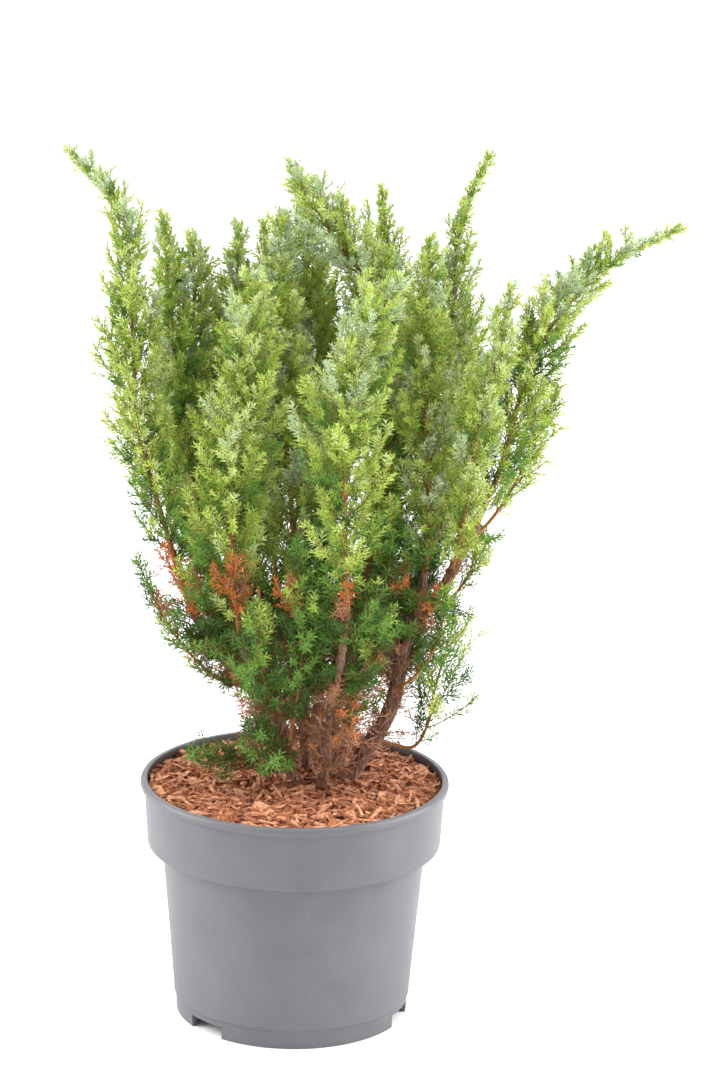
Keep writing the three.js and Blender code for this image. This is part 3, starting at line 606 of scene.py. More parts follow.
# Stems and boughs: each runs through its points in millimetres, and its radius falls from its foot to
# its tip. flare is how far a stem's foot spreads, and leafy how closely leafy shoots stand on a limb.
limbs = {
    "stem_right": {
        "through": [(37, 11, 160), (42, 11, 176), (53, 11, 195), (66, 10, 220), (72, 8, 245), (74, 6, 266)],
        "radii": (6.2, 5.0), "flare": 1.3, "leafy": 0.0},
    "stem_middle": {
        "through": [(24, 21, 160), (28, 16, 212), (33, 8, 257), (43, 10, 298), (52, 14, 330)],
        "radii": (4.0, 3.0), "flare": 0.9},
    "stem_centre": {
        "through": [(8, 32, 160), (6, 27, 220), (4, 14, 280), (1, 9, 306)],
        "radii": (4.1, 3.0), "flare": 0.9},
    "stem_left": {
        "through": [(-5, 23, 160), (-24, 15, 224), (-42, 6, 247), (-60, -4, 276), (-76, -9, 303)],
        "radii": (4.8, 3.4), "flare": 1.0, "leafy": 1.8},
    "stem_left_front": {
        "through": [(2, 5, 160), (-12, -10, 212), (-30, -25, 258), (-40, -33, 290)],
        "radii": (4.4, 3.1), "flare": 1.0},
    "stem_front": {
        "through": [(19, -4, 160), (24, -28, 225), (31, -55, 285), (34, -68, 316)],
        "radii": (3.8, 2.7), "flare": 0.8, "leafy": 1.6},
    "stem_back_left": {
        "through": [(-8, 40, 160), (-15, 46, 230), (-25, 51, 285)],
        "radii": (3.9, 2.8), "flare": 0.8},
    "stem_rear_left": {
        "through": [(-2, 54, 160), (-20, 70, 230), (-36, 82, 290)],
        "radii": (4.0, 2.8), "flare": 0.8},
    "stem_rear": {
        "through": [(16, 50, 160), (16, 76, 235), (14, 98, 300)],
        "radii": (4.1, 2.9), "flare": 0.8},
    "stem_rear_right": {
        "through": [(31, 36, 160), (46, 62, 235), (62, 80, 295)],
        "radii": (4.1, 2.9), "flare": 0.8},
    "bough_far_right": {
        "through": [(74, 6, 266), (84, 0, 291), (101, 0, 315), (116, -3, 346), (124, -5, 364)],
        "radii": (4.6, 3.2), "leafy": 0.35},
    "bough_right": {
        "through": [(72, 8, 247), (78, -4, 276), (85, -6, 304), (89, -5, 330)],
        "radii": (3.9, 2.8)},
    "bough_right_back": {
        "through": [(69, 9, 234), (76, 24, 280), (90, 33, 326), (98, 34, 350)],
        "radii": (3.6, 2.5)},
    "bough_middle_back": {
        "through": [(29, 14, 222), (38, 34, 276), (53, 48, 328), (60, 50, 345)],
        "radii": (3.3, 2.4)},
    "bough_centre_back": {
        "through": [(6, 27, 216), (10, 42, 268), (17, 46, 318)],
        "radii": (3.4, 2.4)},
    "bough_left_back": {
        "through": [(-40, 7, 245), (-52, 16, 275), (-62, 19, 308)],
        "radii": (3.3, 2.4)},
    "bough_rear_far_left": {
        "through": [(-17, 68, 220), (-42, 72, 262), (-60, 74, 292)],
        "radii": (3.2, 2.3)},
    "bough_rear_far_right": {
        "through": [(43, 58, 225), (68, 66, 262), (88, 71, 300)],
        "radii": (3.2, 2.3)}
}

# Bark in relief: strips that peel lengthways, and knots that swell the limb. Both are waves round a
# cylinder of wrapRadius, squeezed along the limb so that they come out long.
limbLook = {
    "sides": 22, "ringSpacing": 1.4, "flareFall": 12, "flareWidth": 1.5, "ribs": 3, "ribWidth": 0.5,
    "wrapRadius": 4.5, "wrapSqueeze": 0.22,
    "strip": 0.34, "stripSize": 3.4, "stripEdge": 0.6, "stripSeed": 40,
    "knot": 0.1, "knotSize": 9, "knotStretch": (0.5, 0.5, 1.6), "knotSeed": 70
}


# Puts the corners and faces of several meshes into one
def merged(parts):
    corners, faceSets, offset = [], [], 0
    for partCorners, partFaces in parts:
        corners.append(partCorners)
        faceSets += [faces + offset for faces in partFaces]
        offset += len(partCorners)
    return np.vstack(corners), faceSets


# The corners and faces of one limb
def makeLimb(limb, index):
    look = limbLook
    curve = curveThrough(limb["through"])
    rings, sides = int(curve["length"] / look["ringSpacing"]), look["sides"]
    share = np.linspace(0, 1, rings)
    turn = np.arange(sides) / sides * fullTurn
    flare = (limb.get("flare", 0) * np.exp(-look["flareFall"] * share))[:, None]
    radius = np.interp(share, [0, 1], limb["radii"])[:, None] + look["flareWidth"] * flare
    radius = radius + look["ribWidth"] * flare * np.cos(look["ribs"] * turn)
    wrap = np.stack(np.broadcast_arrays(
        look["wrapRadius"] * np.cos(turn), look["wrapRadius"] * np.sin(turn),
        look["wrapSqueeze"] * curve["length"] * share[:, None]), -1).reshape(-1, 3)
    strips = waves(wrap, look["stripSize"], index + look["stripSeed"]).reshape(rings, sides)
    knots = waves(wrap * look["knotStretch"], look["knotSize"], index + look["knotSeed"], 2)
    relief = look["strip"] * np.sign(strips) * np.abs(strips) ** look["stripEdge"]
    radius = radius * (1 + look["knot"] * knots.reshape(rings, sides)) + relief
    return bars(pointAt(curve, share)[None], radius[None], sides)


print("stems and boughs")
limbParts = [makeLimb(limb, index) for index, limb in enumerate(limbs.values())]
declare(meshObject("stems_and_boughs", *merged(limbParts), limbBark), "bark", *limbs)


# Foliage: each plume is a leading twig through its points in millimetres, with sprays of twigs and
# needles round it. width is its half width at its widest, and tip the share of that left near its
# tip. lift turns its sprays up, bare is the leader's share without any, and open makes them sparse.
# shoots is a row of upright ones along its back. tones are the mixes at its foot, middle and tip.
plumes = {
    "foliage_left": {
        "through": [(-76, -9, 303), (-94, -13, 364), (-112, -15, 430), (-117, -11, 510), (-125, -4, 580),
                    (-162, 5, 622)],
        "width": 26, "lift": 0.2, "tip": 0.7, "tones": ("middle", "fresh", "blue"),
        "shoots": {"count": 5, "height": 28, "from": 0.74, "to": 0.93}},
    "foliage_left_back": {
        "through": [(-62, 19, 308), (-74, 24, 380), (-88, 28, 470), (-93, 28, 520), (-98, 28, 574)],
        "width": 25, "lift": 0.1, "tones": ("fresh", "fresh", "pale")},
    "foliage_left_front": {
        "through": [(-40, -33, 290), (-46, -41, 345), (-44, -43, 410), (-38, -41, 475), (-31, -38, 546)],
        "width": 33, "lift": 0.1, "tones": ("fresh", "fresh", "pale")},
    "foliage_back_left": {
        "through": [(-25, 51, 285), (-38, 56, 375), (-46, 56, 470), (-46, 55, 562)],
        "width": 28, "tones": ("fresh", "fresh", "pale")},
    "foliage_centre": {
        "through": [(1, 9, 306), (-8, 5, 400), (-14, 4, 480), (-16, 5, 580)],
        "width": 27, "tones": ("fresh", "pale", "blue")},
    "foliage_centre_back": {
        "through": [(17, 46, 318), (12, 53, 415), (4, 54, 500), (-3, 50, 590)],
        "width": 31, "tones": ("fresh", "pale", "pale")},
    "foliage_arching": {
        "through": [(52, 14, 330), (61, 20, 400), (58, 24, 475), (44, 24, 530), (20, 14, 564), (-10, 5, 616)],
        "width": 31, "lift": 0.25, "tones": ("middle", "pale", "blue"),
        "shoots": {"count": 7, "height": 52, "from": 0.5, "to": 0.86}},
    "foliage_middle_back": {
        "through": [(60, 50, 345), (68, 58, 430), (63, 58, 515), (54, 52, 590)],
        "width": 26, "tip": 0.6, "tones": ("fresh", "pale", "pale")},
    "foliage_front": {
        "through": [(34, -68, 316), (31, -79, 390), (30, -82, 450), (42, -82, 510), (64, -80, 553)],
        "width": 33, "lift": 0.15, "tones": ("middle", "fresh", "blue")},
    "foliage_right": {
        "through": [(89, -5, 330), (90, -10, 400), (85, -10, 470), (86, -8, 566)],
        "width": 26, "tones": ("fresh", "pale", "pale")},
    "foliage_right_back": {
        "through": [(98, 34, 350), (103, 39, 430), (106, 39, 510), (109, 36, 570), (127, 33, 617)],
        "width": 24, "tip": 0.4, "tones": ("fresh", "pale", "pale")},
    "foliage_far_right": {
        "through": [(124, -5, 364), (141, -7, 410), (153, -8, 462), (172, -7, 508), (208, -4, 548),
                    (258, 0, 575)],
        "width": 28, "lift": 0.35, "tip": 0.45, "tones": ("middle", "fresh", "blue"),
        "shoots": {"count": 9, "height": 36, "from": 0.36, "to": 0.86}},
    "foliage_right_inner": {
        "through": [(107, -1, 328), (114, -24, 372), (122, -36, 440), (133, -38, 490), (142, -34, 540)],
        "width": 20, "lift": 0.1, "tones": ("fresh", "pale", "pale")},
    "foliage_low_right": {
        "through": [(56, 11, 201), (70, 13, 195), (84, 9, 195), (93, 4, 211), (98, 0, 240), (110, 0, 290)],
        "width": 28, "lift": 0.1, "bare": 0.22, "open": 0.95, "tones": ("leafy", "middle", "fresh")},
    "foliage_low_front": {
        "through": [(-5, -3, 188), (-2, -26, 222), (2, -50, 262), (4, -62, 310), (1, -66, 362)],
        "width": 23, "bare": 0.2, "open": 0.5, "tones": ("shade", "leafy", "leafy")},
    "foliage_low_left": {
        "through": [(-14, -12, 218), (-20, -38, 250), (-25, -56, 276), (-30, -66, 318)],
        "width": 21, "bare": 0.14, "open": 0.9, "tones": ("leafy", "leafy", "middle")},
    "foliage_low_middle": {
        "through": [(22, -20, 204), (38, -32, 232), (50, -42, 276), (52, -46, 328)],
        "width": 22, "bare": 0.16, "open": 0.9, "tones": ("leafy", "leafy", "middle")},
    "foliage_side_left": {
        "through": [(-34, 11, 236), (-58, -10, 252), (-88, -20, 288), (-112, -20, 338)],
        "width": 10, "lift": 0.1, "bare": 0.2, "open": 0.9, "tones": ("leafy", "leafy", "leafy")},
    "foliage_foot": {
        "through": [(0, 2, 178), (-12, -18, 192), (-20, -34, 208), (-26, -44, 228)],
        "width": 20, "bare": 0.1, "open": 0.9, "tones": ("shade", "shade", "shade")},
    "foliage_foot_left": {
        "through": [(-10, 21, 180), (-26, 0, 190), (-46, -18, 192), (-70, -26, 197)],
        "width": 14, "lift": 0.2, "bare": 0.3, "open": 1.0, "tones": ("shade", "shade", "leafy")},
    "foliage_rear_left": {
        "through": [(-36, 82, 290), (-48, 92, 370), (-54, 98, 450), (-53, 98, 512)],
        "width": 30, "tones": ("leafy", "middle", "fresh")},
    "foliage_rear": {
        "through": [(14, 98, 300), (13, 110, 380), (12, 116, 460), (12, 114, 524)],
        "width": 32, "tones": ("leafy", "middle", "fresh")},
    "foliage_rear_right": {
        "through": [(62, 80, 295), (74, 94, 380), (78, 100, 460), (74, 98, 515)],
        "width": 30, "tones": ("leafy", "middle", "fresh")},
    "foliage_rear_far_left": {
        "through": [(-60, 74, 292), (-78, 78, 350), (-88, 78, 410), (-88, 76, 468)],
        "width": 26, "tones": ("leafy", "middle", "fresh")},
    "foliage_rear_far_right": {
        "through": [(88, 71, 300), (108, 74, 360), (118, 76, 430), (116, 76, 492)],
        "width": 25, "tones": ("leafy", "middle", "fresh")},
    "foliage_rear_low": {
        "through": [(16, 72, 224), (0, 96, 246), (-14, 118, 280), (-20, 126, 334)],
        "width": 26, "bare": 0.16, "open": 0.6, "tones": ("shade", "leafy", "leafy")},
    "foliage_rear_low_right": {
        "through": [(40, 52, 212), (54, 80, 240), (64, 104, 276), (66, 116, 330)],
        "width": 25, "bare": 0.16, "open": 0.6, "tones": ("shade", "leafy", "leafy")},
    "foliage_inner_left": {
        "through": [(-52, 1, 263), (-56, -18, 286), (-62, -30, 318), (-66, -32, 356)],
        "width": 23, "bare": 0.1, "open": 0.3, "tones": ("leafy", "leafy", "middle")},
    "foliage_inner_middle": {
        "through": [(5, 20, 252), (10, -2, 276), (14, -14, 318), (14, -18, 364)],
        "width": 24, "bare": 0.14, "open": 0.3, "tones": ("shade", "shade", "shade")},
    "foliage_inner_right": {
        "through": [(35, 8, 268), (52, -8, 294), (62, -22, 332), (64, -26, 382)],
        "width": 23, "bare": 0.3, "open": 0.4, "tones": ("leafy", "leafy", "middle")},
    "foliage_fork_right": {
        "through": [(67, 9, 236), (84, -14, 256), (98, -24, 284), (104, -26, 322)],
        "width": 14, "lift": 0.1, "bare": 0.3, "open": 0.6, "tones": ("leafy", "leafy", "middle")},
    "foliage_outer_right": {
        "through": [(117, -3, 348), (138, 10, 368), (160, 14, 408), (178, 12, 458)],
        "width": 16, "lift": 0.2, "bare": 0.2, "open": 0.3, "tones": ("fresh", "fresh", "fresh")},
    "foliage_fork_outer": {
        "through": [(92, 0, 304), (106, 4, 306), (120, 8, 324), (128, 10, 352)],
        "width": 14, "lift": 0.1, "bare": 0.3, "open": 0.6, "tones": ("leafy", "middle", "middle")},
    "foliage_back_inner": {
        "through": [(-22, 49, 268), (-16, 74, 330), (-26, 78, 440), (-28, 70, 562)],
        "width": 20, "bare": 0.2, "tones": ("fresh", "fresh", "pale")},
    "foliage_left_inner": {
        "through": [(-58, 18, 298), (-66, 44, 352), (-74, 50, 440), (-77, 46, 556)],
        "width": 25, "bare": 0.2, "tones": ("fresh", "fresh", "pale")}
}

# Each mix is the share of each needle tone in it. The shaded tone is painted shade. It makes up most of the
# shade mix and a third of the leafy mix, which colour the foliage low down and inside the crown.
toneMixes = {
    "shade": {"dark": 0.72, "deep": 0.28},
    "leafy": {"dark": 0.34, "deep": 0.62, "olive": 0.04},
    "middle": {"dark": 0.06, "deep": 0.38, "olive": 0.38, "fresh": 0.18},
    "fresh": {"deep": 0.08, "olive": 0.34, "fresh": 0.44, "pale": 0.14},
    "pale": {"olive": 0.14, "fresh": 0.34, "pale": 0.38, "bloom": 0.14},
    "blue": {"olive": 0.08, "fresh": 0.20, "pale": 0.32, "bloom": 0.40}
}
mixPlaces = [0.05, 0.45, 0.95]  # where along a plume its three mixes hold
toneNames = list(needleMaterials)
deadTone, driedTone = toneNames.index("dead"), toneNames.index("dried")
livingTones = deadTone  # how many tones come before the dead one, from dark to pale

# Shared by all foliage. jitter is how far into its own stretch of a twig a side shoot is drawn.
growth = {"plumeSeed": 11, "limbSeed": 5, "turnPerSpray": math.radians(137.5), "jitter": (0.2, 0.8)}


# One needle is a pointed blade, a single face of four corners that is folded along its middle. It is
# one unit long and wide, and its two side corners stand two units to the side that the fold opens to.
# Each point holds the needle's direction, that side as its opening, and its three sizes.
def makeNeedleTree():
    tree, start, end = newTree("needles_on_twigs", [("Material", "NodeSocketMaterial", None)])
    grid = addNode(tree, "GeometryNodeMeshGrid", {
        "Size X": 2.0, "Size Y": 2.0, "Vertices X": 2, "Vertices Y": 2})
    corner = addNode(tree, "ShaderNodeSeparateXYZ", {0: addNode(tree, "GeometryNodeInputPosition")}).outputs
    total = addNode(tree, "ShaderNodeMath", {0: corner["X"], 1: corner["Y"]}, operation="ADD")
    gap = addNode(tree, "ShaderNodeMath", {0: corner["X"], 1: corner["Y"]}, operation="SUBTRACT")
    height = addNode(tree, "ShaderNodeMath", {0: total, 1: 0.25, 2: 0.5}, operation="MULTIPLY_ADD")
    across = addNode(tree, "ShaderNodeMath", {0: gap, 1: 0.25}, operation="MULTIPLY")
    away = addNode(tree, "ShaderNodeMath", {0: gap}, operation="ABSOLUTE")
    place = addNode(tree, "ShaderNodeCombineXYZ", {"X": across, "Y": away, "Z": height})
    blade = addNode(tree, "GeometryNodeSetPosition", {"Geometry": grid, "Position": place})
    held = {name: addNode(tree, "GeometryNodeInputNamedAttribute", {"Name": name}, data_type="FLOAT_VECTOR")
            for name in ("direction", "opening", "size")}
    turn = addNode(tree, "FunctionNodeAxesToRotation", {
        "Primary Axis": held["direction"], "Secondary Axis": held["opening"]
    }, primary_axis="Z", secondary_axis="Y")
    points = addNode(tree, "GeometryNodeMeshToPoints", {"Mesh": start.outputs["Geometry"]})
    placed = addNode(tree, "GeometryNodeInstanceOnPoints", {
        "Points": points, "Instance": blade, "Rotation": turn, "Scale": held["size"]})
    real = addNode(tree, "GeometryNodeRealizeInstances", {"Geometry": placed})
    painted = addNode(tree, "GeometryNodeSetMaterial", {
        "Geometry": real, "Material": start.outputs["Material"]})
    tree.links.new(painted.outputs[0], end.inputs["Geometry"])
    return tree


def growNeedles(name, needles, material):
    holder = meshObject(name + "_points", needles["point"], [])
    values = {"direction": needles["direction"], "opening": needles["opening"], "size": needles["size"] * mm}
    for label, vectors in values.items():
        attribute = holder.data.attributes.new(label, "FLOAT_VECTOR", "POINT")
        attribute.data.foreach_set("vector", vectors.astype(np.float32).ravel())
    piece = grown(holder, needleTree, name, {"Material": material})
    for label in values:
        if label in piece.data.attributes:
            piece.data.attributes.remove(piece.data.attributes[label])
    return piece


# Shoots and needles are kept as dictionaries of arrays, with one entry for each shoot or needle. A
# shoot has a root, a bend and an end, its share of the way along what bears it, and how open it is.
def joined(groups):
    return {key: np.concatenate([group[key] for group in groups]) for key in groups[0]}


def someOf(group, chosen):
    return {key: value[chosen] for key, value in group.items()}


# Between a value for dense foliage and one for open foliage
def blended(pair, openness):
    return pair[0] * (1 - openness) + pair[1] * openness


def sideways(along):
    return unit(np.cross([1.0, 0, 0], along))


# A plume is a spindle round its leader, full soon after its foot and pointed at its tip. Its own space
# is where no other plume's leader is nearer for its width.
space = {
    "skew": 0.72, "fullness": 0.6, "tipFrom": 0.5, "tipOver": 0.3,
    "reach": 1.35, "neighbour": 0.88, "samples": 25
}


def envelope(plume, share):
    bare = plume.get("bare", 0)
    along = np.clip((share - bare) / (1 - bare), 0, 1)
    slim = 1 - (1 - plume.get("tip", 1)) * np.clip((along - space["tipFrom"]) / space["tipOver"], 0, 1)
    bulge = np.maximum(np.sin(math.pi * along ** space["skew"]), 0) ** space["fullness"]
    return slim * plume["width"] * bulge


def distanceToLeader(plume, points):
    return np.linalg.norm(points[:, None] - plume["samples"][None], axis=2).min(axis=1)


def inOwnSpace(plume, points):
    own = distanceToLeader(plume, points) / plume["width"]
    inside = own <= space["reach"]
    for other in plumes.values():
        if other is not plume:
            inside &= distanceToLeader(other, points) / other["width"] >= own * space["neighbour"]
    return inside


# Directions square to a leader, a golden angle apart from a drawn start
def goldenTurns(along, draw):
    turns = draw.uniform(0, drawnTurn) + np.arange(len(along)) * growth["turnPerSpray"]
    return turned(sideways(along), along, turns)


# Shoots leave a leader at each share, lean out by their reach and climb with it. A shoot that would
# stand in another plume's space is drawn in, and is left out if that doesn't help.
leaning = {"tries": 4, "drawIn": 0.74, "leastClimb": 6, "outBend": 0.6, "climbBend": 0.35, "checkedAt": 0.6}


def shootsFrom(plume, share, out, reach, climbShare, rise):
    root = pointAt(plume["curve"], share)
    for _ in range(leaning["tries"]):
        climb = (climbShare * reach + leaning["leastClimb"])[:, None]
        bend = root + leaning["outBend"] * reach[:, None] * out + leaning["climbBend"] * climb * rise
        end = root + reach[:, None] * out + climb * rise
        checked = (1 - leaning["checkedAt"]) * root + leaning["checkedAt"] * end
        kept = inOwnSpace(plume, end) & inOwnSpace(plume, checked)
        reach = np.where(kept, reach, leaning["drawIn"] * reach)
    return someOf({"root": root, "bend": bend, "end": end, "share": share}, kept)


# Sprays stand all along the living part of the leader. room is left at their ends for the needles.
sprayLook = {
    "spacing": (2.8, 4.0), "first": 0.02, "last": 0.985,
    "climb": 1.25, "reach": (0.52, 1.18), "least": 3, "room": 2.0
}


def leaningSprays(plume, draw):
    look, bare, openness = sprayLook, plume.get("bare", 0), plume.get("open", 0)
    count = int(plume["curve"]["length"] * (1 - bare) / blended(look["spacing"], openness))
    start = bare + look["first"]
    places = np.arange(count) + draw.uniform(*growth["jitter"], count)
    share = start + (look["last"] - start) * places / count
    along = tangentAt(plume["curve"], share)
    out = goldenTurns(along, draw)
    reach = envelope(plume, share) * draw.uniform(*look["reach"], count)
    reach = np.maximum(reach - look["room"], look["least"])
    rise = unit(along + [0, 0, plume.get("lift", 0)])
    return shootsFrom(plume, share, out, reach, look["climb"], rise)


# Steep spires stand between the sprays, at least two of them, and more on a dense plume.
spireLook = {
    "spacing": 27, "fewest": 2, "first": 0.3, "span": 0.52, "lift": 0.3, "climb": 2.3,
    "reach": (0.8, 1.15), "share": 0.55
}


def spires(plume, draw):
    look, bare, openness = spireLook, plume.get("bare", 0), plume.get("open", 0)
    living = plume["curve"]["length"] * (1 - bare)
    count = max(look["fewest"], int(living * (1 - openness) / look["spacing"]))
    places = np.arange(count) + draw.uniform(*growth["jitter"], count)
    share = bare + (1 - bare) * (look["first"] + look["span"] * places / count)
    along = tangentAt(plume["curve"], share)
    out = goldenTurns(along, draw)
    width = (plume["width"] + envelope(plume, share)) / 2
    reach = look["share"] * width * draw.uniform(*look["reach"], count)
    rise = unit(along + [0, 0, look["lift"] + plume.get("lift", 0)])
    return shootsFrom(plume, share, out, reach, look["climb"], rise)


# A row of upright shoots on a plume's back, the highest nearest its foot
uprightLook = {"stray": 0.02, "height": (0.8, 1.15), "highest": 1.2, "fall": 0.7, "spread": 0.16, "sag": 1.5}


def uprightShoots(plume, draw):
    look, row = uprightLook, plume["shoots"]
    count = row["count"]
    share = np.linspace(row["from"], row["to"], count) + draw.uniform(-look["stray"], look["stray"], count)
    root = pointAt(plume["curve"], share)
    fall = look["highest"] - look["fall"] * (share - row["from"]) / (row["to"] - row["from"])
    height = (row["height"] * draw.uniform(*look["height"], count) * fall)[:, None]
    end = root + unit(draw.normal(0, look["spread"], (count, 3)) + [0, 0, 1.0]) * height
    bend = (root + end) / 2 + draw.normal(0, look["sag"], (count, 3))
    return {"root": root, "bend": bend, "end": end, "share": share}


# The foot of a plume is more open than its tip. A spray's flat side faces the leader, more or less.
facing = {"footOpening": 0.5, "footFall": 1.6, "spread": 0.45}


def spraysOf(plume, draw):
    bare, openness = plume.get("bare", 0), plume.get("open", 0)
    groups = [leaningSprays(plume, draw), spires(plume, draw)]
    if "shoots" in plume:
        groups.append(uprightShoots(plume, draw))
    sprays = joined(groups)
    share = np.clip((sprays["share"] - bare) / (1 - bare), 0, 1)
    toLeader = unit(pointAt(plume["curve"], bare + (1 - bare) * share) - sprays["end"])
    sprays["share"] = share
    sprays["open"] = openness + (1 - openness) * facing["footOpening"] * (1 - share) ** facing["footFall"]
    sprays["facing"] = unit(toLeader + draw.normal(0, facing["spread"], toLeader.shape))
    return sprays


# Deals places along shoots: the shoot of each place, its order there, and its share of the way
def placesAlong(counts, first, last, jitter, draw):
    shoot = np.repeat(np.arange(len(counts)), counts)
    order = np.arange(len(shoot)) - np.repeat(np.cumsum(counts) - counts, counts)
    share = first + (last - first) * (order + draw.uniform(*jitter, len(shoot))) / counts[shoot]
    return shoot, order, share


# Side twigs stand left and right in turn, and are shorter towards the spray's tip. They curve forwards
# and up. room is added to each one's length for its needles, but no more than roomShare of the spray's.
twigLook = {
    "spacing": (3.5, 5.6), "first": 0.24, "last": 0.95, "fewest": 2,
    "lean": math.radians(44), "leanSpread": 0.16, "turnSpread": 0.75, "share": 0.27, "taper": 1.1,
    "reach": (0.75, 1.25), "room": 4.5, "roomShare": 0.3, "forwards": 0.5, "upwards": 0.15
}


def twigsOf(sprays, draw, first=twigLook["first"]):
    look = twigLook
    length = np.linalg.norm(sprays["end"] - sprays["root"], axis=1)
    counts = length * (look["last"] - first) / blended(look["spacing"], sprays["open"])
    counts = np.maximum(look["fewest"], counts.astype(int))
    parent, order, share = placesAlong(counts, first, look["last"], growth["jitter"], draw)
    length = length[parent]
    root, along = bent(sprays["root"][parent], sprays["bend"][parent], sprays["end"][parent], share)
    side = np.where(order % 2 == 0, 1.0, -1.0)[:, None]
    flat = unit(np.cross(along, sprays["facing"][parent])) * side
    out = turned(flat, along, draw.normal(0, look["turnSpread"], len(parent)))
    lean = (look["lean"] + draw.normal(0, look["leanSpread"], len(parent)))[:, None]
    reach = look["share"] * length * (look["taper"] - share) * draw.uniform(*look["reach"], len(parent))
    reach = (reach + np.minimum(look["room"], look["roomShare"] * length))[:, None]
    direction = along * np.cos(lean) + out * np.sin(lean)
    bend = root + reach / 2 * direction
    end = bend + reach / 2 * unit(direction + look["forwards"] * along + [0, 0, look["upwards"]])
    return {"root": root, "bend": bend, "end": end, "parent": parent, "share": share,
            "open": sprays["open"][parent]}


# The tone of each spray, dealt from its plume's mixes by how far up it stands
def tonesOf(mixNames, share, draw):
    mixes = np.array([[toneMixes[mix].get(tone, 0) for tone in toneNames] for mix in mixNames])
    weights = np.stack([np.interp(share, mixPlaces, column) for column in mixes.T], 1)
    steps = np.cumsum(weights / weights.sum(axis=1, keepdims=True), axis=1)
    return np.minimum((draw.uniform(size=(len(share), 1)) > steps).sum(axis=1), len(toneNames) - 1)


# Moves chosen tones one step lighter or darker, and only the living ones
def shifted(tone, step, chosen):
    moved = np.clip(tone + step, 0, livingTones - 1)
    return np.where(chosen & (tone < livingTones), moved, tone)


# Needles stand in whorls of three, each whorl turned between the last one's needles. Towards the tip
# they lean in and get shorter, and some of the dead ones have dropped. steady is a direction that
# their turns are counted from.
needleLook = {
    "spacing": (1.55, 2.5), "jitter": (0.3, 0.7), "perWhorl": 3,
    "turnSpread": 0.12, "steady": (0.31, 0.22, 0.92),
    "lean": (math.radians(43), math.radians(68)), "leanAtFoot": 1.14, "leanFall": 0.5, "leanSpread": 0.09,
    "length": (5.4, 7.8), "lengthAtFoot": 1.05, "lengthFall": 0.3, "lengthSpread": (0.85, 1.15),
    "width": (1.2, 1.0), "depth": 0.2, "deadKept": 0.8, "perPiece": 98000
}


def needlesOn(shoots, tone, draw, first, last=1.0):
    look, perWhorl = needleLook, needleLook["perWhorl"]
    length = np.linalg.norm(shoots["end"] - shoots["root"], axis=1) * (last - first)
    counts = np.maximum(1, np.round(length / blended(look["spacing"], shoots["open"]))).astype(int)
    shoot, order, share = placesAlong(counts, first, last, look["jitter"], draw)
    whorls, openness, tone = len(shoot), shoots["open"][shoot], tone[shoot]
    point, along = bent(shoots["root"][shoot], shoots["bend"][shoot], shoots["end"][shoot], share)
    steady = unit(np.cross(along, look["steady"]))
    turn = order * math.pi / perWhorl + np.repeat(draw.uniform(0, drawnTurn, len(counts)), counts)
    lean = blended(look["lean"], openness) * (look["leanAtFoot"] - look["leanFall"] * share)
    lean = (lean + draw.normal(0, look["leanSpread"], whorls))[:, None]
    length = blended(look["length"], openness) * (look["lengthAtFoot"] - look["lengthFall"] * share)
    length = length * draw.uniform(*look["lengthSpread"], whorls)
    width = blended(look["width"], openness)
    size = np.stack([width, look["depth"] * width, length], axis=1)
    groups = []
    for needle in range(perWhorl):
        spread = draw.normal(0, look["turnSpread"], whorls)
        out = turned(steady, along, turn + needle * fullTurn / perWhorl + spread)
        groups.append({
            "point": point, "size": size, "tone": tone,
            "direction": unit(along * np.cos(lean) + out * np.sin(lean)),
            "opening": along * np.sin(lean) - out * np.cos(lean)})
    kept = np.tile(np.where(tone < livingTones, 1.0, look["deadKept"]), perWhorl)
    return someOf(joined(groups), draw.uniform(size=perWhorl * whorls) < kept)


# Places where sprays have withered: the middle, the reach, and the share of sprays that are dead there
withered = [
    ((-84, -12, 330), 27, 1.0), ((-30, -62, 342), 30, 1.0), ((36, -88, 336), 24, 1.0),
    ((84, -26, 330), 20, 0.9), ((111, -12, 334), 15, 0.9), ((62, -20, 268), 26, 0.7),
    ((38, -86, 392), 18, 0.7), ((-44, -44, 330), 20, 0.5), ((99, 0, 232), 16, 0.5),
    ((0, 20, 235), 52, 0.5), ((30, 85, 260), 50, 0.5), ((-50, 70, 270), 36, 0.5)
]
witheredEdge = (0.6, 1.1)  # how far into or past its reach such a place goes, drawn for each spray


def isWithered(points, draw):
    dead = np.zeros(len(points), dtype=bool)
    for middle, reach, share in withered:
        reaches = reach * draw.uniform(*witheredEdge, len(points))
        near = np.linalg.norm(points - np.array(middle), axis=1) < reaches
        dead |= near & (draw.uniform(size=len(points)) < share)
    return dead


# The bare wood of the foliage: its material, its radius at the foot and at the tip, and its rings
woodLook = {
    "spray": ("green", 0.5, 0.2, 4), "low spray": ("brown", 0.6, 0.22, 4),
    "dead spray": ("dry", 0.6, 0.22, 4), "dry shoot": ("dry", 0.5, 0.18, 4),
    "twig": ("green", 0.36, 0.18, 2), "dead twig": ("dry", 0.36, 0.18, 2),
    "dry side shoot": ("dry", 0.3, 0.18, 2)
}
woodSides = 3


def addWood(kind, shoots):
    material, foot, tip, rings = woodLook[kind]
    share = np.linspace(0, 1, rings)
    count = len(shoots["root"])
    path = np.stack([bent(shoots["root"], shoots["bend"], shoots["end"], np.full(count, at))[0]
                     for at in share], axis=1)
    radii = np.broadcast_to(foot + (tip - foot) * share, (count, rings))
    twigParts[material].append(bars(path, radii, woodSides))


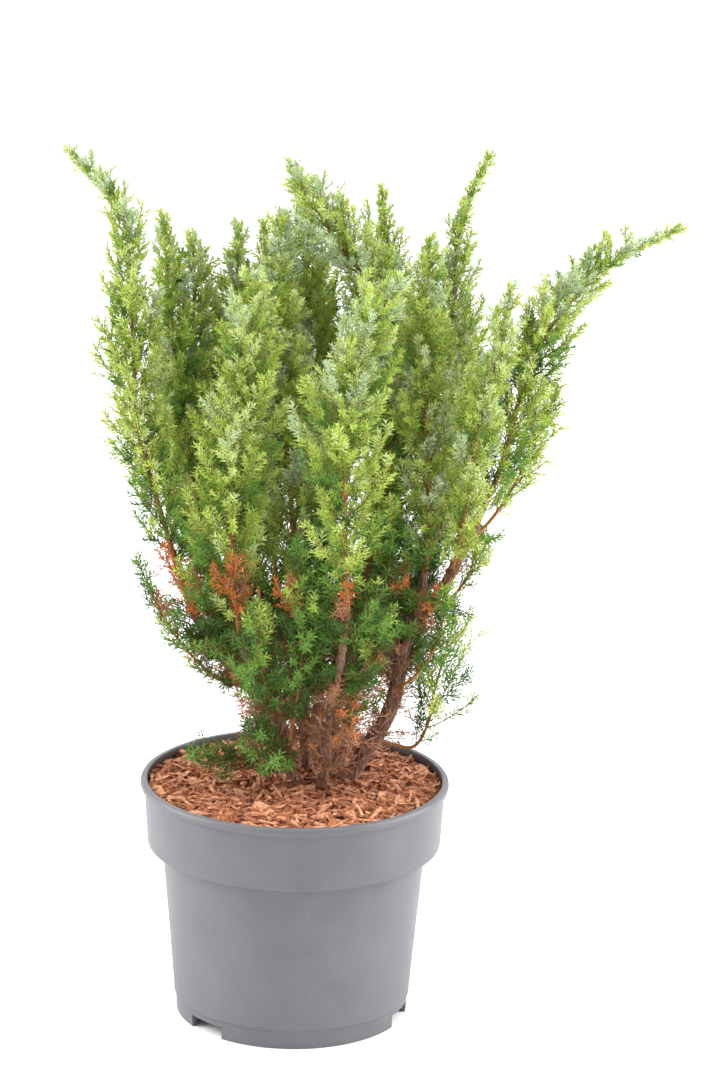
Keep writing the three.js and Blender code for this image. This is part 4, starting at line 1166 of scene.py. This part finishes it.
# Dresses sprays in side twigs and needles. A spray's foot is bare and its inner part a tone darker.
# Some of its twigs are a tone darker near the leader, and high up some are a tone lighter further out.
# The wood of the sprays is green past greenFrom, and brown nearer the plume's foot.
dressing = {
    "bareSpray": 0.2, "inner": 0.42, "bareTwig": 0.08, "darkerTo": 0.45, "darkerShare": 0.55,
    "lighterFrom": 0.5, "lighterShare": 0.4, "lighterAbove": 330, "greenFrom": 0.5
}


def dress(sprays, tone, draw):
    look, dead = dressing, tone >= livingTones
    twigs = twigsOf(sprays, draw)
    twigTone, deadTwigs = tone[twigs["parent"]], dead[twigs["parent"]]
    chance = draw.uniform(size=len(twigTone))
    high = twigs["root"][:, 2] > look["lighterAbove"]
    lighter = high & (twigs["share"] > look["lighterFrom"]) & (chance < look["lighterShare"])
    darker = (twigs["share"] < look["darkerTo"]) & (chance > 1 - look["darkerShare"])
    twigTone = shifted(shifted(twigTone, 1, lighter), -1, darker)
    needleGroups.append(needlesOn(sprays, shifted(tone, -1, ~dead), draw, look["bareSpray"], look["inner"]))
    needleGroups.append(needlesOn(sprays, tone, draw, look["inner"]))
    needleGroups.append(needlesOn(twigs, twigTone, draw, look["bareTwig"]))
    green = sprays["share"] > look["greenFrom"]
    addWood("spray", someOf(sprays, green & ~dead))
    addWood("low spray", someOf(sprays, ~green & ~dead))
    addWood("dead spray", someOf(sprays, dead))
    addWood("twig", someOf(twigs, ~deadTwigs))
    addWood("dead twig", someOf(twigs, deadTwigs))


# The leader is a tapered twig, slimmer on a plume whose foot is bare. Past the first edge it has
# needles itself, in three stretches, with the tones of the given shares.
leaderLook = {
    "radius": 1.9, "bareRadius": 1.2, "tipRadius": 0.3, "taper": 0.8, "rings": 40, "sides": 8,
    "edges": np.array([0.4, 0.6, 0.8, 1.0]), "toneShares": np.array([0.5, 0.7, 0.9])
}
dying = {"below": 0.8, "orangeShare": 0.8}  # sprays wither up to this share, most of them to orange


def growPlume(plume, draw):
    sprays = spraysOf(plume, draw)
    tone = tonesOf(plume["tones"], sprays["share"], draw)
    dead = isWithered(sprays["end"], draw) & (sprays["share"] < dying["below"])
    deadTones = np.where(draw.uniform(size=len(dead)) < dying["orangeShare"], deadTone, driedTone)
    dress(sprays, np.where(dead, deadTones, tone), draw)
    bare = plume.get("bare", 0)
    edges = bare + (1 - bare) * leaderLook["edges"]
    low, high = pointAt(plume["curve"], edges[:-1]), pointAt(plume["curve"], edges[1:])
    middle = pointAt(plume["curve"], (edges[:-1] + edges[1:]) / 2)
    leader = {"root": low, "bend": 2 * middle - (low + high) / 2, "end": high,
              "open": np.full(len(low), float(plume.get("open", 0)))}
    needleGroups.append(needlesOn(leader, tonesOf(plume["tones"], leaderLook["toneShares"], draw), draw, 0.0))


def makeLeaders():
    look = leaderLook
    share = np.linspace(0, 1, look["rings"])
    path = np.stack([pointAt(plume["curve"], share) for plume in plumes.values()])
    foot = np.array([[look["bareRadius"] if "bare" in plume else look["radius"]]
                     for plume in plumes.values()])
    corners, faceSets = bars(path, foot * (1 - share) ** look["taper"] + look["tipRadius"], look["sides"])
    declare(meshObject("leading_twigs", corners, faceSets, youngBark), "bark", *plumes)


# Shoots that stand on the limbs themselves: dry and mostly bare low down, and leafy higher up. The dry
# ones also stand on the feet of plumes that are bare for less than lowBare. Their length and lean are
# drawn between each pair, and they grow between the two heights. clad is the share of dry shoots that
# still have needles, past bareShoot or bareSideShoot of their length.
limbShoots = {
    "dry": {"spacing": 1.15, "lowest": 177, "highest": 268, "length": (12, 38), "lean": (0.6, 1.4)},
    "leafy": {"spacing": 3.4, "lowest": 232, "highest": 420, "length": (18, 40), "lean": (0.5, 1.15)}
}
shootLook = {
    "first": 0.02, "last": 0.97, "lowBare": 0.2, "pastBare": 0.08, "lift": 0.2, "sag": 0.14, "sagSpread": 0.8,
    "lowestTip": 173, "open": 0.7, "drySideFirst": 0.15, "clad": 0.17, "orangeShare": 0.2,
    "bareShoot": 0.5, "bareSideShoot": 0.3, "tones": ("shade", "leafy", "leafy"),
    "dyingHeights": (235, 290), "dyingShares": (0.3, 0.04)
}


def shootsOnLimbs(kind, draw):
    look = limbShoots[kind]
    ways = [(curveThrough(limb["through"]), shootLook["last"], limb.get("leafy", 1) if kind == "leafy" else 1)
            for limb in limbs.values()]
    if kind == "dry":
        ways += [(plume["curve"], plume["bare"] + shootLook["pastBare"], 1)
                 for plume in plumes.values() if plume.get("bare", 1) < shootLook["lowBare"]]
    groups = []
    for curve, last, crowding in ways:
        count = int(curve["length"] * last / look["spacing"] * crowding)
        share = draw.uniform(shootLook["first"], last, count)
        root, along = pointAt(curve, share), tangentAt(curve, share)
        out = turned(sideways(along), along, draw.uniform(0, drawnTurn, count))
        length = draw.uniform(*look["length"], count)[:, None]
        lean = draw.uniform(*look["lean"], count)[:, None]
        end = root + length * unit(out * np.sin(lean) + along * np.cos(lean) + [0, 0, shootLook["lift"]])
        sag = shootLook["sag"] * length * draw.normal(0, shootLook["sagSpread"], (count, 3))
        height = root[:, 2]
        kept = (height > look["lowest"]) & (height < look["highest"]) & (end[:, 2] > shootLook["lowestTip"])
        groups.append(someOf({"root": root, "bend": (root + end) / 2 + sag, "end": end}, kept))
    shoots = joined(groups)
    count = len(shoots["root"])
    shoots.update(share=np.zeros(count), open=np.full(count, shootLook["open"]))
    shoots["facing"] = unit(draw.normal(size=(count, 3)))
    return shoots


def growLimbShoots(draw):
    look = shootLook
    dry = shootsOnLimbs("dry", draw)
    side = twigsOf(dry, draw, look["drySideFirst"])
    kinds = (("dry shoot", dry, look["bareShoot"]), ("dry side shoot", side, look["bareSideShoot"]))
    for kind, shoots, bareShare in kinds:
        addWood(kind, shoots)
        clad = someOf(shoots, draw.uniform(size=len(shoots["root"])) < look["clad"])
        orange = draw.uniform(size=len(clad["root"])) < look["orangeShare"]
        needleGroups.append(needlesOn(clad, np.where(orange, deadTone, driedTone), draw, bareShare))
    leafy = shootsOnLimbs("leafy", draw)
    tone = tonesOf(look["tones"], draw.uniform(size=len(leafy["root"])), draw)
    share = np.interp(leafy["root"][:, 2], look["dyingHeights"], look["dyingShares"])
    dead = (draw.uniform(size=len(tone)) < share) | isWithered(leafy["end"], draw)
    dress(leafy, np.where(dead, driedTone, tone), draw)


# One piece for each tone, or more where a piece would get too many needles
def makeNeedles():
    needles = joined(needleGroups)
    print("needles", len(needles["tone"]), "of two triangles")
    for toneIndex, name in enumerate(toneNames):
        chosen = np.flatnonzero(needles["tone"] == toneIndex)
        parts = max(1, math.ceil(len(chosen) / needleLook["perPiece"]))
        for part in range(parts):
            label = "needles_" + name + ("_" + str(part + 1) if parts > 1 else "")
            piece = growNeedles(label, someOf(needles, chosen[part::parts]), needleMaterials[name])
            declare(piece, "foliage", *plumes)
            print(label, 2 * len(piece.data.polygons), "triangles")


print("foliage")
needleTree = makeNeedleTree()
needleGroups = []
twigParts = {name: [] for name in twigMaterials}
for plume in plumes.values():
    plume["curve"] = curveThrough(plume["through"])
    plume["samples"] = pointAt(plume["curve"], np.linspace(0, 1, space["samples"]))
for index, plume in enumerate(plumes.values()):
    growPlume(plume, np.random.default_rng(index + growth["plumeSeed"]))
growLimbShoots(np.random.default_rng(growth["limbSeed"]))
makeNeedles()
for name, parts in twigParts.items():
    declare(meshObject("twigs_" + name, *merged(parts), twigMaterials[name]), "foliage", *plumes)
makeLeaders()


# The studio: a white floor and wall, two softboxes at the sides, one above, and one that lights the wall
studio = {
    "paper": "#f6f6f6", "paperSize": 14000, "wallPlace": (0, 4900, 6000), "skyStrength": 0.86,
    "softboxes": {
        "softbox_left": {"at": (-2.0, 0.0, 1.2), "aim": (0, 0, 0.25), "size": (1.4, 1.8), "watts": 70},
        "softbox_right": {"at": (2.0, 0.1, 1.1), "aim": (0, 0, 0.25), "size": (1.4, 1.8), "watts": 74},
        "softbox_top": {"at": (0.1, -0.4, 2.4), "aim": (0, 0, 0.3), "size": (1.6, 1.6), "watts": 30},
        "softbox_wall": {"at": (0, 3.2, 3.0), "aim": (0, 4.6, 0.2), "size": (3.0, 1.0), "watts": 90}
    }
}


def makePaper(name, place, turn):
    half = studio["paperSize"] / 2
    corners = np.array([(-half, -half, 0), (half, -half, 0), (half, half, 0), (-half, half, 0)])
    corners = corners @ np.array(Matrix.Rotation(turn, 3, "X")).T + np.array(place)
    paper = makePlain(name + "_paper", studio["paper"], 0.9, 0.1)
    meshObject(name, corners, [np.array([[0, 1, 2, 3]])], paper, smooth=False)


# Where a light or the camera stands and how it is turned, from its three axes
def aimed(place, right, up, back):
    return Matrix.Translation(place) @ Matrix(np.column_stack([right, up, back]).tolist()).to_4x4()


def addSoftbox(name, softbox):
    data = bpy.data.lights.new(name, "AREA")
    data.shape, data.size, data.size_y = "RECTANGLE", *softbox["size"]
    data.energy = softbox["watts"]
    light = bpy.data.objects.new(name, data)
    bpy.context.collection.objects.link(light)
    back = unit(np.array(softbox["at"]) - np.array(softbox["aim"]))
    right = unit(np.cross([0, 0, 1.0], back))
    light.matrix_world = aimed(softbox["at"], right, np.cross(back, right), back)


print("stage, light and camera")
makePaper("floor", (0, 0, 0), 0)
makePaper("wall", studio["wallPlace"], math.pi / 2)
for name, softbox in studio["softboxes"].items():
    addSoftbox(name, softbox)

world = bpy.data.worlds.new("studio")
bpy.context.scene.world = world
world.use_nodes = True
background = world.node_tree.nodes["Background"]
background.inputs["Color"].default_value = colour("#ffffff")
background.inputs["Strength"].default_value = studio["skyStrength"]

# The camera stands where the photograph was taken: the focal length and the picture's height are in
# pixels, the sensor in millimetres, the place in metres and the turns in radians.
view = {
    "focal": 3940, "pictureHeight": 1083, "sensor": 36, "distance": 2.6579, "height": 1.1025,
    "pitch": 0.2761, "yaw": 0.01617, "roll": 0.0205, "nearest": 0.1, "farthest": 30
}
cameraData = bpy.data.cameras.new("camera")
cameraData.sensor_width = view["sensor"]
cameraData.lens = view["sensor"] * view["focal"] / view["pictureHeight"]
cameraData.clip_start, cameraData.clip_end = view["nearest"], view["farthest"]
camera = bpy.data.objects.new("camera", cameraData)
bpy.context.collection.objects.link(camera)
bpy.context.scene.camera = camera
pitch, yaw, roll = view["pitch"], view["yaw"], view["roll"]
forward = np.array([math.sin(yaw) * math.cos(pitch), math.cos(yaw) * math.cos(pitch), -math.sin(pitch)])
level = np.array([math.cos(yaw), -math.sin(yaw), 0])
upright = np.cross(level, forward)
right = math.cos(roll) * level + math.sin(roll) * upright
up = -math.sin(roll) * level + math.cos(roll) * upright
camera.matrix_world = aimed((0, -view["distance"], view["height"]), right, up, -forward)

bpy.context.scene.view_settings.view_transform = "Standard"
